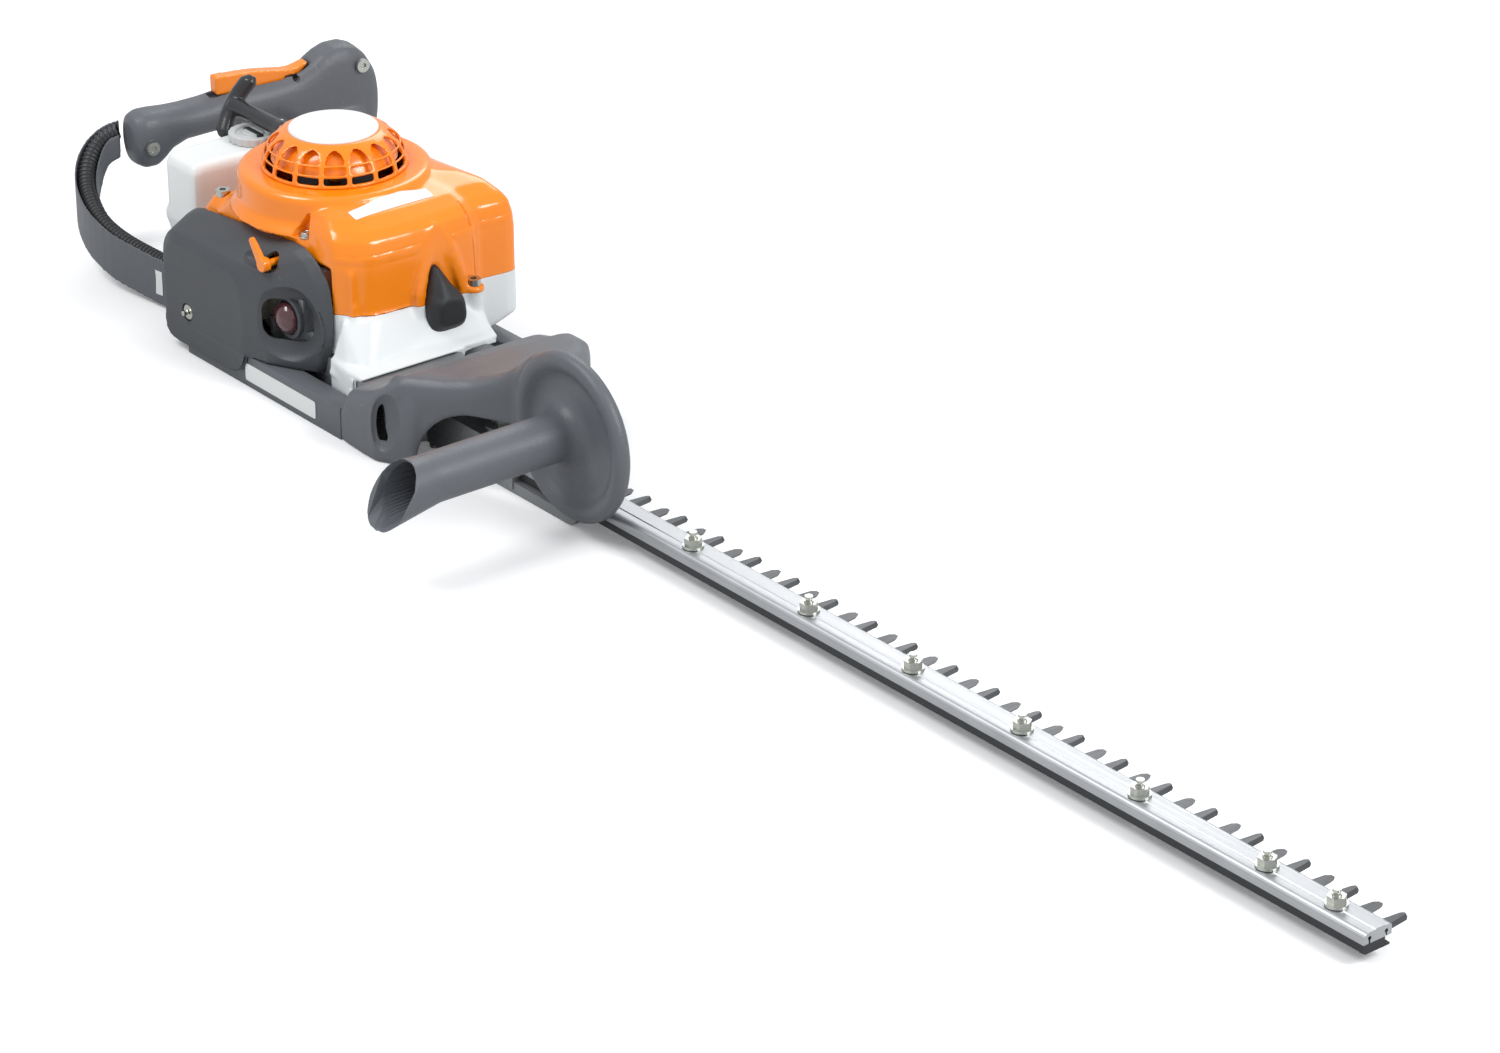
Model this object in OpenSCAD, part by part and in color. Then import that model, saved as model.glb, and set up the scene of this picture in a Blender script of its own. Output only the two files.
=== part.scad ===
// Petrol hedge trimmer with a single-sided, double-reciprocating cutter.
// Frame: the origin is on the ground under the engine's crank axis, X runs along the cutter bar
// to its tip, Y points to the toothed side and Z is up. All sizes are in millimetres.

/* [Cutter] */
// Number of teeth on each knife
tooth_count = 20; // [12:1:20]
// Distance from tooth to tooth
tooth_pitch = 38; // [36:1:39]
// Length of a tooth beyond the bar
tooth_reach = 23; // [18:1:25]
// Thickness of one knife
knife_t = 2.4; // [2:0.1:2.6]
// Running gap between knives, bar and guard
knife_gap = 0.1; // [0.08:0.01:0.15]
// Full stroke of each knife
stroke = 19; // [15:1:20]
// Width of the guide bar
bar_w = 21.8; // [20:0.2:23]
// Height of the guide bar
bar_t = 7.6; // [7:0.2:9]
// Diameter of the bolts along the bar
bar_bolt_d = 6; // [5:0.5:6.5]
// Outer diameter of the spacer sleeves round those bolts
spacer_d = 9; // [8.5:0.1:9.5]
// Height of the knives' lower face above the ground
knife_z = 9.1; // [9:0.1:10]

/* [Gear train] */
// Module of the gears
gear_module = 2; // [1.9:0.05:2.1]
// Teeth on the clutch pinion
pinion_teeth = 14; // [13:1:15]
// Teeth on the idler gear
idler_teeth = 40; // [39:1:41]
// Teeth on the crank gear
crank_teeth = 34; // [33:1:35]
// Width of the gears
gear_t = 7; // [6:0.5:8]
// Radius of each eccentric
eccentric_r = 14; // [13:0.5:15]
// Radial clearance of journals in their bores
running_fit = 0.05; // [0.03:0.01:0.08]

/* [Engine] */
// Inner radius of the clutch drum
drum_r = 30; // [28:0.5:31]
// Radius of the flywheel
flywheel_r = 50; // [46:0.5:52]
// Radius of the fan housing under the starter dome
fan_case_r = 67; // [65:0.5:69]
// Height of the joint between the white housing and the orange shroud
split_z = 69; // [67:0.5:71]
// Height of the top of the fan housing
fan_case_top = 140; // [138:0.5:143]
// Radius at the foot of the starter dome
dome_r = 51; // [49:0.5:53]
// Height of the starter dome
dome_h = 25; // [23:0.5:27]
// Radius of the cap disc on the dome
cap_r = 31; // [28:0.5:33]
// Wall of the moulded covers
cover_wall = 2.5; // [2:0.1:3]

/* [Frame and handles] */
// Height of the frame rails
rail_h = 23; // [21:0.5:25]
// Distance of the near rail's outer face from the crank axis
near_rail_y = 86; // [84:0.5:88]
// Distance of the far rail's outer face from the crank axis
far_rail_y = 79; // [77:0.5:81]
// Radius of the hand-stop disc
disc_r = 58; // [54:0.5:60]
// Outer radius of the front grip
front_grip_r = 16.5; // [15:0.5:18]
// Height of the front grip's axis
front_grip_z = 66; // [64:0.5:68]
// Height of the rear grip's axis
rear_grip_z = 93; // [91:0.5:95]
// Radius of the rear grip
rear_grip_r = 15.5; // [14:0.5:16.5]
// Height of the rear bow's band
bow_h = 35; // [30:1:37]
// Diameter of the corrugated cable hose
hose_d = 12; // [10:0.5:12.5]

/* [Hidden] */
$fn = 64;
eps = 0.01;

// Colours
shroud_orange = "#f07818";
housing_white = "#e6e9ea";
frame_grey = "#4a4c50";
steel = "#a8acb0";

// Heights of the cutter stack, from the guard up to the top of the bar
guard_floor_t = 1.2;
guard_z = knife_z - knife_gap - guard_floor_t;
lower_knife_top = knife_z + knife_t;
upper_knife_z = lower_knife_top + knife_gap;
bar_z = upper_knife_z + knife_t + knife_gap;
bar_top = bar_z + bar_t;

// Plan of the cutter
bar_y = -29;
bar_near = bar_y - bar_w/2;
bar_far = bar_y + bar_w/2;
knife_near = bar_near + 2.4;
first_tooth = 306.4;
last_tooth = first_tooth + (tooth_count - 1)*tooth_pitch;
bar_end = last_tooth + 11.6;
throw = stroke/2;
bolt_offsets = [-596, -481, -382, -283, -181, -76, -21]; // from the last tooth
bolt_x = [for (b = bolt_offsets) last_tooth + b];

// Gear axes: the pinion is on the crank axis, the crank gear on the bar's centre line
addendum = 0.9*gear_module;
pinion_r = gear_module*pinion_teeth/2;
idler_r = gear_module*idler_teeth/2;
crank_r = gear_module*crank_teeth/2;
idler_turn = -13;
idler_at = (pinion_r + idler_r)*[cos(idler_turn), sin(idler_turn)];
crank_x = idler_at[0] + sqrt(pow(idler_r + crank_r, 2) - pow(bar_y - idler_at[1], 2));
crank_at = [crank_x, bar_y];
crank_turn = atan2(bar_y - idler_at[1], crank_x - idler_at[0]);
idler_phase = idler_turn + 180 + 180/idler_teeth;
crank_phase = crank_turn + 180 + (crank_turn - idler_phase)*idler_teeth/crank_teeth + 180/crank_teeth;

// Frame rails, and the joint between the near cover and the shells
rail_w = 16;
near_rail_in = -near_rail_y + rail_w;
far_rail_in = far_rail_y - rail_w;
cover_rim = -60;
cover_face = -88;

// Heights of the drive
gear_z = 24;
gear_top = gear_z + gear_t;
case_top = gear_top + 7;
case_floor_z = 3;
bar_start = crank_x + 42;
case_front = 262;
drum_z = case_top + 4;
drum_t = 3;
drum_h = 17;
crankcase_z = drum_z + drum_h + 4;
crankcase_h = 34;
crankcase_top = crankcase_z + crankcase_h;
flywheel_z = crankcase_top + 2;
flywheel_t = 6;
fin_h = 9;
rotor_z = flywheel_z + flywheel_t + fin_h + 5.5;
rotor_h = 8;
rotor_r = 26;

// ---------------------------------------------------------------- outlines and lofts
function unit(v) = v/norm(v);

// Outline with softened corners: a vertex is [x, y, cut], where cut is what its arc takes from both edges,
// at most just under half of the shorter one
function soft(v, m = 3) = [
  for (i = [0:len(v) - 1])
    let (n = len(v),
         at = [v[i][0], v[i][1]],
         before = [v[(i + n - 1)%n][0], v[(i + n - 1)%n][1]],
         after = [v[(i + 1)%n][0], v[(i + 1)%n][1]],
         cut = min(v[i][2], 0.48*norm(before - at), 0.48*norm(after - at)),
         a = at + cut*unit(before - at),
         b = at + cut*unit(after - at))
    for (k = [0:m]) let (s = k/m) (1 - s)*(1 - s)*a + 2*s*(1 - s)*at + s*s*b
];

// Rounded rectangle between two corners
function box_outline(x0, y0, x1, y1, cut, m = 3) =
  soft([[x0, y0, cut], [x1, y0, cut], [x1, y1, cut], [x0, y1, cut]], m);

// Oval ring of n points with half sizes a and b
function oval(x, y, a, b, n = 16) = [for (i = [0:n - 1]) [x + a*cos(360*i/n), y + b*sin(360*i/n)]];

function in_xy(ring, z) = [for (p = ring) [p[0], p[1], z]];
function in_xz(ring, y) = [for (p = ring) [p[0], y, p[1]]];
function in_yz(ring, x) = [for (p = ring) [x, p[0], p[1]]];

// Closed solid through rings of equally many points, each ring counter-clockwise seen from the last one
module loft(rings) {
  n = len(rings[0]);
  m = len(rings);
  sides = [for (j = [0:m - 2]) for (i = [0:n - 1]) let (k = (i + 1)%n)
    each [[j*n + i, (j + 1)*n + i, (j + 1)*n + k], [j*n + i, (j + 1)*n + k, j*n + k]]];
  polyhedron(
    points = [for (r = rings) each r],
    faces = concat([[for (i = [0:n - 1]) i]], sides, [[for (i = [n - 1:-1:0]) (m - 1)*n + i]]));
}

module along_x(x, y, z, len, r) translate([x, y, z]) rotate([0, 90, 0]) cylinder(r = r, h = len);
module along_y(x, y, z, len, r) translate([x, y, z]) rotate([-90, 0, 0]) cylinder(r = r, h = len);
module ring(r_out, r_in, h) difference() {
  cylinder(r = r_out, h = h);
  translate([0, 0, -1]) cylinder(r = r_in, h = h + 2);
}

// Slot along X with round ends, len between the centres of its ends
module long_slot(len, d, h) {
  for (s = [-1, 1]) translate([s*len/2, 0, 0]) cylinder(d = d, h = h);
  translate([-len/2, -d/2, 0]) cube([len, d, h]);
}

// Screw with a socket head, its seat at z = 0 and its shank below
module socket_screw(head_r, head_h, shank_r, shank_l) {
  difference() {
    cylinder(r = head_r, h = head_h);
    translate([0, 0, head_h*0.4]) cylinder(r = head_r*0.5, h = head_h, $fn = 6);
  }
  translate([0, 0, -shank_l]) cylinder(r = shank_r, h = shank_l + eps);
}

// ---------------------------------------------------------------- cutter
// Aluminium extrusion: rounded near shoulder, raised middle land and two keyhole grooves below
module bar_profile() {
  near = -bar_w/2;
  far = bar_w/2;
  land = 0.5;
  difference() {
    polygon(concat(
      [[near, 0]],
      [for (a = [180:-15:90]) [near + 4.5 + 4.5*cos(a), bar_t - land - 4.5 + 4.5*sin(a)]],
      [[-2.4, bar_t - land], [-1.8, bar_t], [5.6, bar_t], [6.2, bar_t - land]],
      [for (a = [90:-30:0]) [far - 2 + 2*cos(a), bar_t - land - 2 + 2*sin(a)]],
      [[far, 0]]));
    for (y = [near + 4.6, far - 4.2]) {
      translate([y - 0.6, -1]) square([1.2, 4]);
      translate([y, 3.4]) circle(r = 1.3, $fn = 24);
    }
  }
}

module bar_bolt_places() for (x = bolt_x) translate([x, bar_y, 0]) children();

module guide_bar() color("#c9cdd0") difference() {
  translate([bar_start, bar_y, bar_z]) rotate([90, 0, 90]) linear_extrude(bar_end - bar_start) bar_profile();
  bar_bolt_places() translate([0, 0, bar_z - 1]) cylinder(d = bar_bolt_d, h = bar_t + 2);
  for (x = case_bolt_x) translate([x, bar_y, bar_z - 1]) cylinder(d = bar_bolt_d, h = bar_t + 2);
}
case_bolt_x = [bar_start + 18, bar_start + 62];

// One tooth, a wedge whose sharp wide face is down at side = 1 and up at side = -1
module tooth(side) {
  root = 6;
  tip = 3.7;
  bevel = 1.9;
  wide = [[-root, -1], [root, -1], [tip, tooth_reach - 3], [tip - 2.2, tooth_reach], [-tip + 2.2, tooth_reach],
          [-tip, tooth_reach - 3]];
  slim = [for (p = wide) [p[0] - sign(p[0])*min(bevel, abs(p[0]) - 0.6), min(p[1], tooth_reach - 0.8)]];
  loft(side > 0 ? [in_xy(wide, 0), in_xy(slim, knife_t)] : [in_xy(slim, 0), in_xy(wide, knife_t)]);
}

// Knife: spine under the bar, teeth on the far side, slots round the spacers and the eccentric's yoke
module knife(phase, side) {
  yoke_x = eccentric_r + 8.5;
  yoke_y = eccentric_r + throw + 7;
  slot_x = eccentric_r + 2.15;
  slot_y = eccentric_r + throw + 0.4;
  spine_end = bar_end - 3 - throw - 1;
  difference() {
    union() {
      linear_extrude(knife_t) {
        polygon([[crank_x, knife_near], [spine_end - 2, knife_near], [spine_end, knife_near + 2],
                 [spine_end, bar_far - 4], [last_tooth + phase + 5.5, bar_far - 1],
                 [last_tooth + phase + 5.5, bar_far], [crank_x, bar_far]]);
        translate([crank_x, bar_y]) polygon(box_outline(-yoke_x, -yoke_y, yoke_x, yoke_y, 9));
      }
      for (i = [0:tooth_count - 1]) translate([first_tooth + phase + i*tooth_pitch, bar_far, 0]) tooth(side);
    }
    translate([crank_x - slot_x, bar_y - slot_y, -1]) cube([2*slot_x, 2*slot_y, knife_t + 2]);
    for (x = concat(bolt_x, case_bolt_x)) translate([x, bar_y, -1])
      long_slot(stroke + 1, spacer_d + 0.6, knife_t + 2);
  }
}
module upper_knife() color("#6c7074") translate([0, 0, upper_knife_z]) knife(0, 1);
module lower_knife() color("#7c8084") translate([0, 0, knife_z]) knife(-tooth_pitch/2, -1);

// Black channel below the knives, closed on the near side and at the tip
module knife_guard() color("#2a2c30") difference() {
  union() {
    translate([case_front, 0, 0]) rotate([90, 0, 90]) linear_extrude(bar_end - case_front)
      polygon([[bar_near + 1.5, guard_z], [bar_near, guard_z + 1.5], [bar_near, bar_z], [bar_near + 2, bar_z],
               [bar_near + 2, guard_z + guard_floor_t], [bar_far - 1, guard_z + guard_floor_t],
               [bar_far - 1, guard_z + 0.4], [bar_far - 1.4, guard_z]]);
    translate([bar_end - 3, bar_near, guard_z + 1]) cube([3, bar_w - 5, bar_z - guard_z - 1]);
  }
  bar_bolt_places() translate([0, 0, guard_z - 1]) cylinder(d = bar_bolt_d, h = 4);
}

// Bolts from below with a flat head under the guard and a grease stud above the nut
nut_h = 6.2;
module bar_bolts() color(steel) bar_bolt_places() {
  translate([0, 0, guard_z - 2]) cylinder(r = 6, h = 2);
  translate([0, 0, guard_z - eps]) cylinder(d = bar_bolt_d, h = bar_top + nut_h + 1.2 - guard_z);
  translate([0, 0, bar_top + nut_h + 1]) cylinder(r = 1.8, h = 1.6);
  translate([0, 0, bar_top + nut_h + 2.4]) cylinder(r = 2.6, h = 1.8);
}
module bar_spacers() color(steel) bar_bolt_places()
  translate([0, 0, knife_z - knife_gap]) ring(spacer_d/2, bar_bolt_d/2, bar_z - knife_z + knife_gap);
module bar_nuts() color("#d4d8da") bar_bolt_places() translate([0, 0, bar_top]) difference() {
  union() {
    cylinder(r = 7, h = 1.6);
    cylinder(r = 5.8, h = nut_h, $fn = 6);
  }
  translate([0, 0, -1]) cylinder(d = bar_bolt_d, h = nut_h + 2);
}

// ---------------------------------------------------------------- gearbox
// Involute gear outline, its first tooth centred on the angle phase
function involute(a) = tan(a) - a*PI/180;
function gear_outline(teeth, phase) =
  let (rp = gear_module*teeth/2, rb = rp*cos(20), tip = rp + addendum, root = rp - 1.25*gear_module,
       low = max(rb, root), half = 90/teeth - 0.35,
       flank = [for (k = [0:2]) low + (tip - low)*k/2],
       turn = [for (r = flank) half + (involute(20) - involute(acos(rb/r)))*180/PI])
  [for (i = [0:teeth - 1]) let (c = phase + 360*i/teeth)
    each concat(
      [root*[cos(c - turn[0]), sin(c - turn[0])]],
      [for (k = [0:2]) flank[k]*[cos(c - turn[k]), sin(c - turn[k])]],
      [for (k = [2:-1:0]) flank[k]*[cos(c + turn[k]), sin(c + turn[k])]],
      [root*[cos(c + turn[0]), sin(c + turn[0])]])];

module gear_blank(teeth, phase, bore) difference() {
  linear_extrude(gear_t) polygon(gear_outline(teeth, phase));
  translate([0, 0, -1]) cylinder(r = bore, h = gear_t + 2);
}

journal_r = 8;
stub_r = 5;
bearing_out = 10.5;
idler_pin_r = 6;

// Plan of the gearbox, r larger than the gears' own circles
module case_plan(r) hull() {
  circle(r = drum_r + r);
  translate(idler_at) circle(r = idler_r + r);
  translate(crank_at) circle(r = crank_r + r);
}

// Cast housing: gear chamber inside, seat for the bar below its nose, seat for the clutch housing on top
module gearcase() color("#8d9194") difference() {
  union() {
    translate([0, 0, bar_z]) linear_extrude(case_top - bar_z) case_plan(6);
    translate([crank_x, bar_near - 6, bar_z]) cube([case_front - crank_x, bar_w + 12, bar_top - bar_z + 9]);
    translate([crank_x, bar_y, bar_z]) cylinder(r = tray_r + 4, h = 6);
    for (x = case_bolt_x) translate([x, bar_y, bar_z]) cylinder(r = 11, h = bar_top - bar_z + 12);
    for (p = buffer_at) buffer_ear(p);
  }
  translate([0, 0, gear_z - 0.8]) linear_extrude(gear_t + 1.6) {
    circle(r = pinion_r + addendum + 1.2);
    translate(idler_at) circle(r = idler_r + addendum + 1.2);
    translate(crank_at) circle(r = crank_r + addendum + 1.2);
  }
  translate([bar_start, bar_near, bar_z - 1]) cube([case_front - bar_start + 1, bar_w, bar_t + 1]);
  translate([crank_x, bar_y, bar_z - 1]) cylinder(r = journal_r + running_fit, h = gear_z - bar_z + 1);
  translate([crank_x, bar_y, gear_top]) cylinder(r = bearing_out, h = 5.5);
  translate([0, 0, bar_z + 3]) cylinder(r = stub_r + running_fit, h = gear_z);
  translate([0, 0, gear_top]) cylinder(r = bearing_out, h = case_top);
  translate([idler_at[0], idler_at[1], bar_z + 3]) cylinder(r = idler_pin_r, h = case_top - bar_z - 6);
  for (x = case_bolt_x) translate([x, bar_y, bar_z - 1]) cylinder(d = bar_bolt_d, h = 40);
  for (p = case_screw_at) translate([p[0], p[1], bar_z - 1]) cylinder(r = 2, h = 14);
}

// Cover below the gearbox: tray for the yokes, and a nose that carries the front of the guard
case_screw_at = [[-32, 8], [14, 35], [66, 31], [crank_x + 47, bar_y + bar_w/2 + 3],
  [crank_x + 47, bar_y - bar_w/2 - 3], [60, -52], [-26, -20]];
module gearcase_cover() color("#6f7377") difference() {
  union() {
    translate([0, 0, case_floor_z]) linear_extrude(bar_z - case_floor_z) case_plan(6);
    translate([crank_x, bar_y, case_floor_z]) cylinder(r = tray_r + 4, h = bar_z - case_floor_z);
    translate([crank_x, bar_near - 6, case_floor_z]) cube([case_front - crank_x, bar_w + 12, bar_z - case_floor_z]);
    nose();
  }
  translate([0, 0, knife_z - knife_gap]) linear_extrude(20) {
    translate(crank_at) circle(r = tray_r);
    translate([crank_x, bar_near]) square([200, bar_w + 0.4]);
  }
  translate([crank_x, bar_y, case_floor_z - 1]) cylinder(r = stub_r + running_fit, h = 20);
  for (x = case_bolt_x) translate([x, bar_y, case_floor_z - 1]) cylinder(d = bar_bolt_d, h = 20);
  for (p = case_screw_at) translate([p[0], p[1], case_floor_z - 1]) cylinder(r = 2, h = 20);
}
tray_r = 41;
nose_end = 332;
module nose() translate([0, bar_near - 5, 0]) rotate([90, 0, 0]) mirror([0, 0, 1])
  linear_extrude(bar_w + 6) polygon(soft([
    [case_front - 24, 0, 4], [nose_end - 6, 0, 5], [nose_end, guard_z, 3], [case_front - 24, guard_z, 0.5]]));

module crank_gear() color("#80858a") translate([crank_x, bar_y, gear_z]) gear_blank(crank_teeth, crank_phase, journal_r);
module eccentric_shaft() color("#9a9ea2") translate([crank_x, bar_y, 0]) {
  translate([0, 0, case_floor_z]) cylinder(r = stub_r, h = knife_z - case_floor_z + eps);
  translate([0, -throw, knife_z]) cylinder(r = eccentric_r, h = knife_t);
  translate([0, 0, knife_z]) cylinder(r = 4.4, h = 2*knife_t + knife_gap);
  translate([0, throw, upper_knife_z]) cylinder(r = eccentric_r, h = knife_t);
  translate([0, 0, upper_knife_z + knife_t]) cylinder(r = journal_r, h = gear_top - upper_knife_z - knife_t - eps);
  translate([0, 0, gear_top - 2*eps]) cylinder(r = stub_r, h = 5.4);
}
module crank_bearing() color("#c2c6c9") translate([crank_x, bar_y, gear_top + 0.3])
  ring(bearing_out, stub_r + running_fit, 5.2);
module idler_gear() color("#80858a") translate([idler_at[0], idler_at[1], gear_z])
  gear_blank(idler_teeth, idler_phase, idler_pin_r + running_fit);
module idler_pin() color(steel) translate([idler_at[0], idler_at[1], bar_z + 3])
  cylinder(r = idler_pin_r, h = case_top - bar_z - 6);
module pinion() color("#80858a") {
  translate([0, 0, gear_z]) linear_extrude(gear_t) polygon(gear_outline(pinion_teeth, idler_turn));
  translate([0, 0, bar_z + 4]) cylinder(r = stub_r, h = drum_z - bar_z - 4 + eps);
}
module drum_bearing() color("#c2c6c9") translate([0, 0, gear_top + 0.4])
  ring(bearing_out, stub_r + running_fit, case_top - gear_top - 0.4);
module gearcase_screws() color(steel) {
  for (p = case_screw_at) translate([p[0], p[1], case_floor_z]) mirror([0, 0, 1]) socket_screw(4, 2.4, 2, 20);
  for (x = case_bolt_x) translate([x, bar_y, case_floor_z - 2.4]) {
    cylinder(r = 6, h = 2.4);
    cylinder(d = bar_bolt_d, h = bar_top + 16);
    translate([0, 0, bar_top + 12 - case_floor_z + 2.4]) cylinder(r = 6, h = 5, $fn = 6);
  }
}

// ---------------------------------------------------------------- clutch and engine
drum_wall = 2.5;
module clutch_drum() color("#85898d") {
  difference() {
    translate([0, 0, drum_z]) cylinder(r = drum_r + drum_wall, h = drum_h);
    translate([0, 0, drum_z + drum_t]) cylinder(r = drum_r, h = drum_h);
    translate([0, 0, drum_z - 1]) cylinder(r = stub_r, h = 2);
  }
  translate([0, 0, case_top + 0.3]) ring(bearing_out - 2, stub_r, drum_z - case_top - 0.3 + eps);
}
module clutch_housing() color("#8d9194") {
  translate([0, 0, case_top]) ring(drum_r + 7, drum_r + 4, crankcase_z - case_top);
  for (a = [45, 135, 225, 315]) rotate(a) translate([drum_r + 8.5, 0, case_top])
    ring(4, 1.6, crankcase_z - case_top);
}
shaft_r = 7;
module crankshaft() color(steel) {
  translate([0, 0, drum_z + drum_t + 0.6]) cylinder(r = shaft_r, h = flywheel_z + flywheel_t - drum_z);
  translate([0, 0, drum_z + drum_t + 1]) {
    cylinder(r = 11, h = 10);
    translate([-drum_r + 4, -5, 0]) cube([2*drum_r - 8, 10, 10]);
  }
  translate([0, 0, flywheel_z + flywheel_t]) cylinder(r = 9, h = 7, $fn = 6);
}
module clutch_shoes() color("#5d6165") translate([0, 0, drum_z + drum_t + 1]) difference() {
  ring(drum_r - 1.2, 11.2, 10);
  translate([-drum_r, -5.2, -1]) cube([2*drum_r, 10.4, 12]);
}
module flywheel() color("#b4b8bb") {
  translate([0, 0, flywheel_z]) difference() {
    ring(flywheel_r, shaft_r, flywheel_t);
    for (a = [0:60:300]) rotate(a) translate([26, 0, -1]) cylinder(r = 7, h = flywheel_t + 2);
  }
  for (a = [0:20:340]) rotate(a) translate([17, 0, flywheel_z + flywheel_t - eps]) rotate(12) translate([0, -0.8, 0])
    cube([flywheel_r - 19, 1.6, fin_h]);
}
coil_r = flywheel_r + 0.4;
coil_turn = 115;
module ignition_coil() color("#303236") rotate(coil_turn) translate([0, 0, flywheel_z - 6]) difference() {
  translate([coil_r - 2, -11, 0]) cube([12, 22, 12]);
  translate([0, 0, -1]) cylinder(r = coil_r, h = 14);
}

cyl_y = 14;
cyl_z = crankcase_z + 14;
module crankcase() color("#9a9ea2") difference() {
  union() {
    translate([0, 0, crankcase_z]) cylinder(r = drum_r + 7, h = 4);
    for (a = [45, 135, 225, 315]) rotate(a) translate([drum_r + 8.5, 0, crankcase_z]) cylinder(r = 4, h = 4);
    translate([0, 0, crankcase_z]) cylinder(r = 33, h = crankcase_h);
    rotate(coil_turn) translate([20, -6, crankcase_z]) cube([coil_r - 12, 12, flywheel_z - 6 - crankcase_z]);
  }
  translate([0, 0, crankcase_z - 1]) cylinder(r = shaft_r + running_fit, h = crankcase_h + 2);
  along_x(28, cyl_y, cyl_z, 20, spigot_r + 0.2);
}
// Cylinder towards the front with square cooling fins
head_x = 88;
spigot_r = 13;
cylinder_r = 20;
module cylinder_fin(x) translate([x, cyl_y, cyl_z]) rotate([90, 0, 90]) linear_extrude(1.8)
  polygon(box_outline(-27, -cylinder_r, 27, cylinder_r, 8));
module cylinder_block() color("#a6aaad") difference() {
  union() {
    along_x(28, cyl_y, cyl_z, 20, spigot_r);
    along_x(38, cyl_y, cyl_z, head_x - 38, cylinder_r - 1);
    for (x = [38:5.5:head_x - 4]) cylinder_fin(x);
    translate([48, cyl_y - 34, cyl_z - 12]) cube([26, 68, 24]);
  }
  along_x(head_x - 8, cyl_y, cyl_z, 20, 4);
  along_y(61, cyl_y - 35, cyl_z, 14, 7);
  along_y(61, cyl_y + 21, cyl_z, 14, 8);
}
module spark_plug() color("#e8e8e4") {
  along_x(head_x - 8, cyl_y, cyl_z, 9, 4);
  along_x(head_x, cyl_y, cyl_z, 5, 8);
  along_x(head_x + 4, cyl_y, cyl_z, 10, 4);
}
// Rubber boot over the plug, a slanted wedge that stands out of the shroud
function boot_outline(w, low, high) = [
  [cyl_y + w, cyl_z - low, w*0.6], [cyl_y + w*0.8, cyl_z - low*0.2, 5], [cyl_y - w*0.3, cyl_z + high, 3],
  [cyl_y - w, cyl_z - low*0.2, 5], [cyl_y - w, cyl_z - low, w*0.6]];
module boot_gap() translate([82, 0, 0]) rotate([90, 0, 90]) linear_extrude(40) offset(delta = 0.4)
  polygon(soft(boot_outline(14, 28, 18)));
boot_rings = [[head_x + 5.2, 12, 18, 18], [102, 14, 28, 17], [110, 14, 28, 8], [116, 10, 22, -4]];
module plug_boot() color("#2c2e32") difference() {
  loft([for (r = boot_rings) in_yz(soft(boot_outline(r[1], r[2], r[3])), r[0])]);
  along_x(head_x + 5.1, cyl_y, cyl_z, 9, 4);
}

module muffler() color("#7a7470") difference() {
  loft([for (r = [[0, 3], [2, 0], [50, 0], [52, 3]]) in_yz(
    box_outline(cyl_y + 34 + r[1], cyl_z - 24 + r[1], 70 - r[1], cyl_z + 24 - r[1], 6), 34 + r[0])]);
  along_y(78, 60, cyl_z + 10, 20, 5);
}

// Carburettor on the near side of the cylinder, with the purge bulb on its face
carb_y = cyl_y - 34;
module carburettor() color("#9b9fa2") difference() {
  union() {
    translate([44, carb_y - 20, cyl_z - 17]) cube([34, 20, 34]);
    translate([26, carb_y - 40, cyl_z - 28]) cube([44, 20.5, 48]);
    translate([choke_at[0] - 4.5, carb_y - 40, cyl_z + 10]) cube([9, 20.5, 12]);
    // base of the purge pump
    translate([bulb_at[0] - 13, bulb_at[1], 50]) cube([30, 9, 24]);
    // end stop of the throttle cable
    translate([hose_inner[0][0] + 0.3, hose_inner[0][1] - 6.8, hose_inner[0][2] - 6.8]) cube([4, 14.3, 30]);
  }
  along_y(61, carb_y - 19, cyl_z, 30, 7);
  along_y(bulb_at[0], bulb_at[1] - 1, bulb_at[2], 6, bulb_r + 1.6);
  along_y(choke_at[0], carb_y - 41, choke_at[2], 9, choke_pin_r + running_fit);
}
choke_pin_r = 2.5;
bulb_r = 8.5;
bulb_at = [40, -68, 58];
module purge_bulb() color("#5a3038") translate(bulb_at) rotate([90, 0, 0]) {
  translate([0, 0, 0.1]) cylinder(r = bulb_r + 1, h = 1.2);
  intersection() {
    translate([0, 0, 1]) scale([1, 1, 0.85]) sphere(r = bulb_r);
    translate([-20, -20, 1]) cube([40, 40, 20]);
  }
}
module choke_lever() color(shroud_orange) translate(choke_at) rotate([90, 0, 0]) {
  cylinder(r = 5, h = 6);
  rotate(128) hull() {
    translate([0, 0, 2]) cylinder(r = 4, h = 4, $fn = 32);
    translate([17.5, 0, 2.6]) cylinder(r = 2.8, h = 3, $fn = 32);
  }
  translate([0, 0, choke_at[1] - carb_y + 33]) cylinder(r = choke_pin_r, h = carb_y - choke_at[1] - 32);
}
choke_at = [30.5, -78, 95.5];

// Pleated filter on its plate, behind the near cover
filter_back = cover_rim + 0.7;
module air_filter() color("#c8c0a8") {
  translate([-72, filter_back - 4, 38]) cube([92, 4, 44]);
  for (i = [0:9]) translate([-68 + i*7.4, filter_back - 17, 42]) linear_extrude(36)
    polygon([[0, 13.1], [2.2, 0], [4.4, 0], [6.6, 13.1]]);
}

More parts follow.
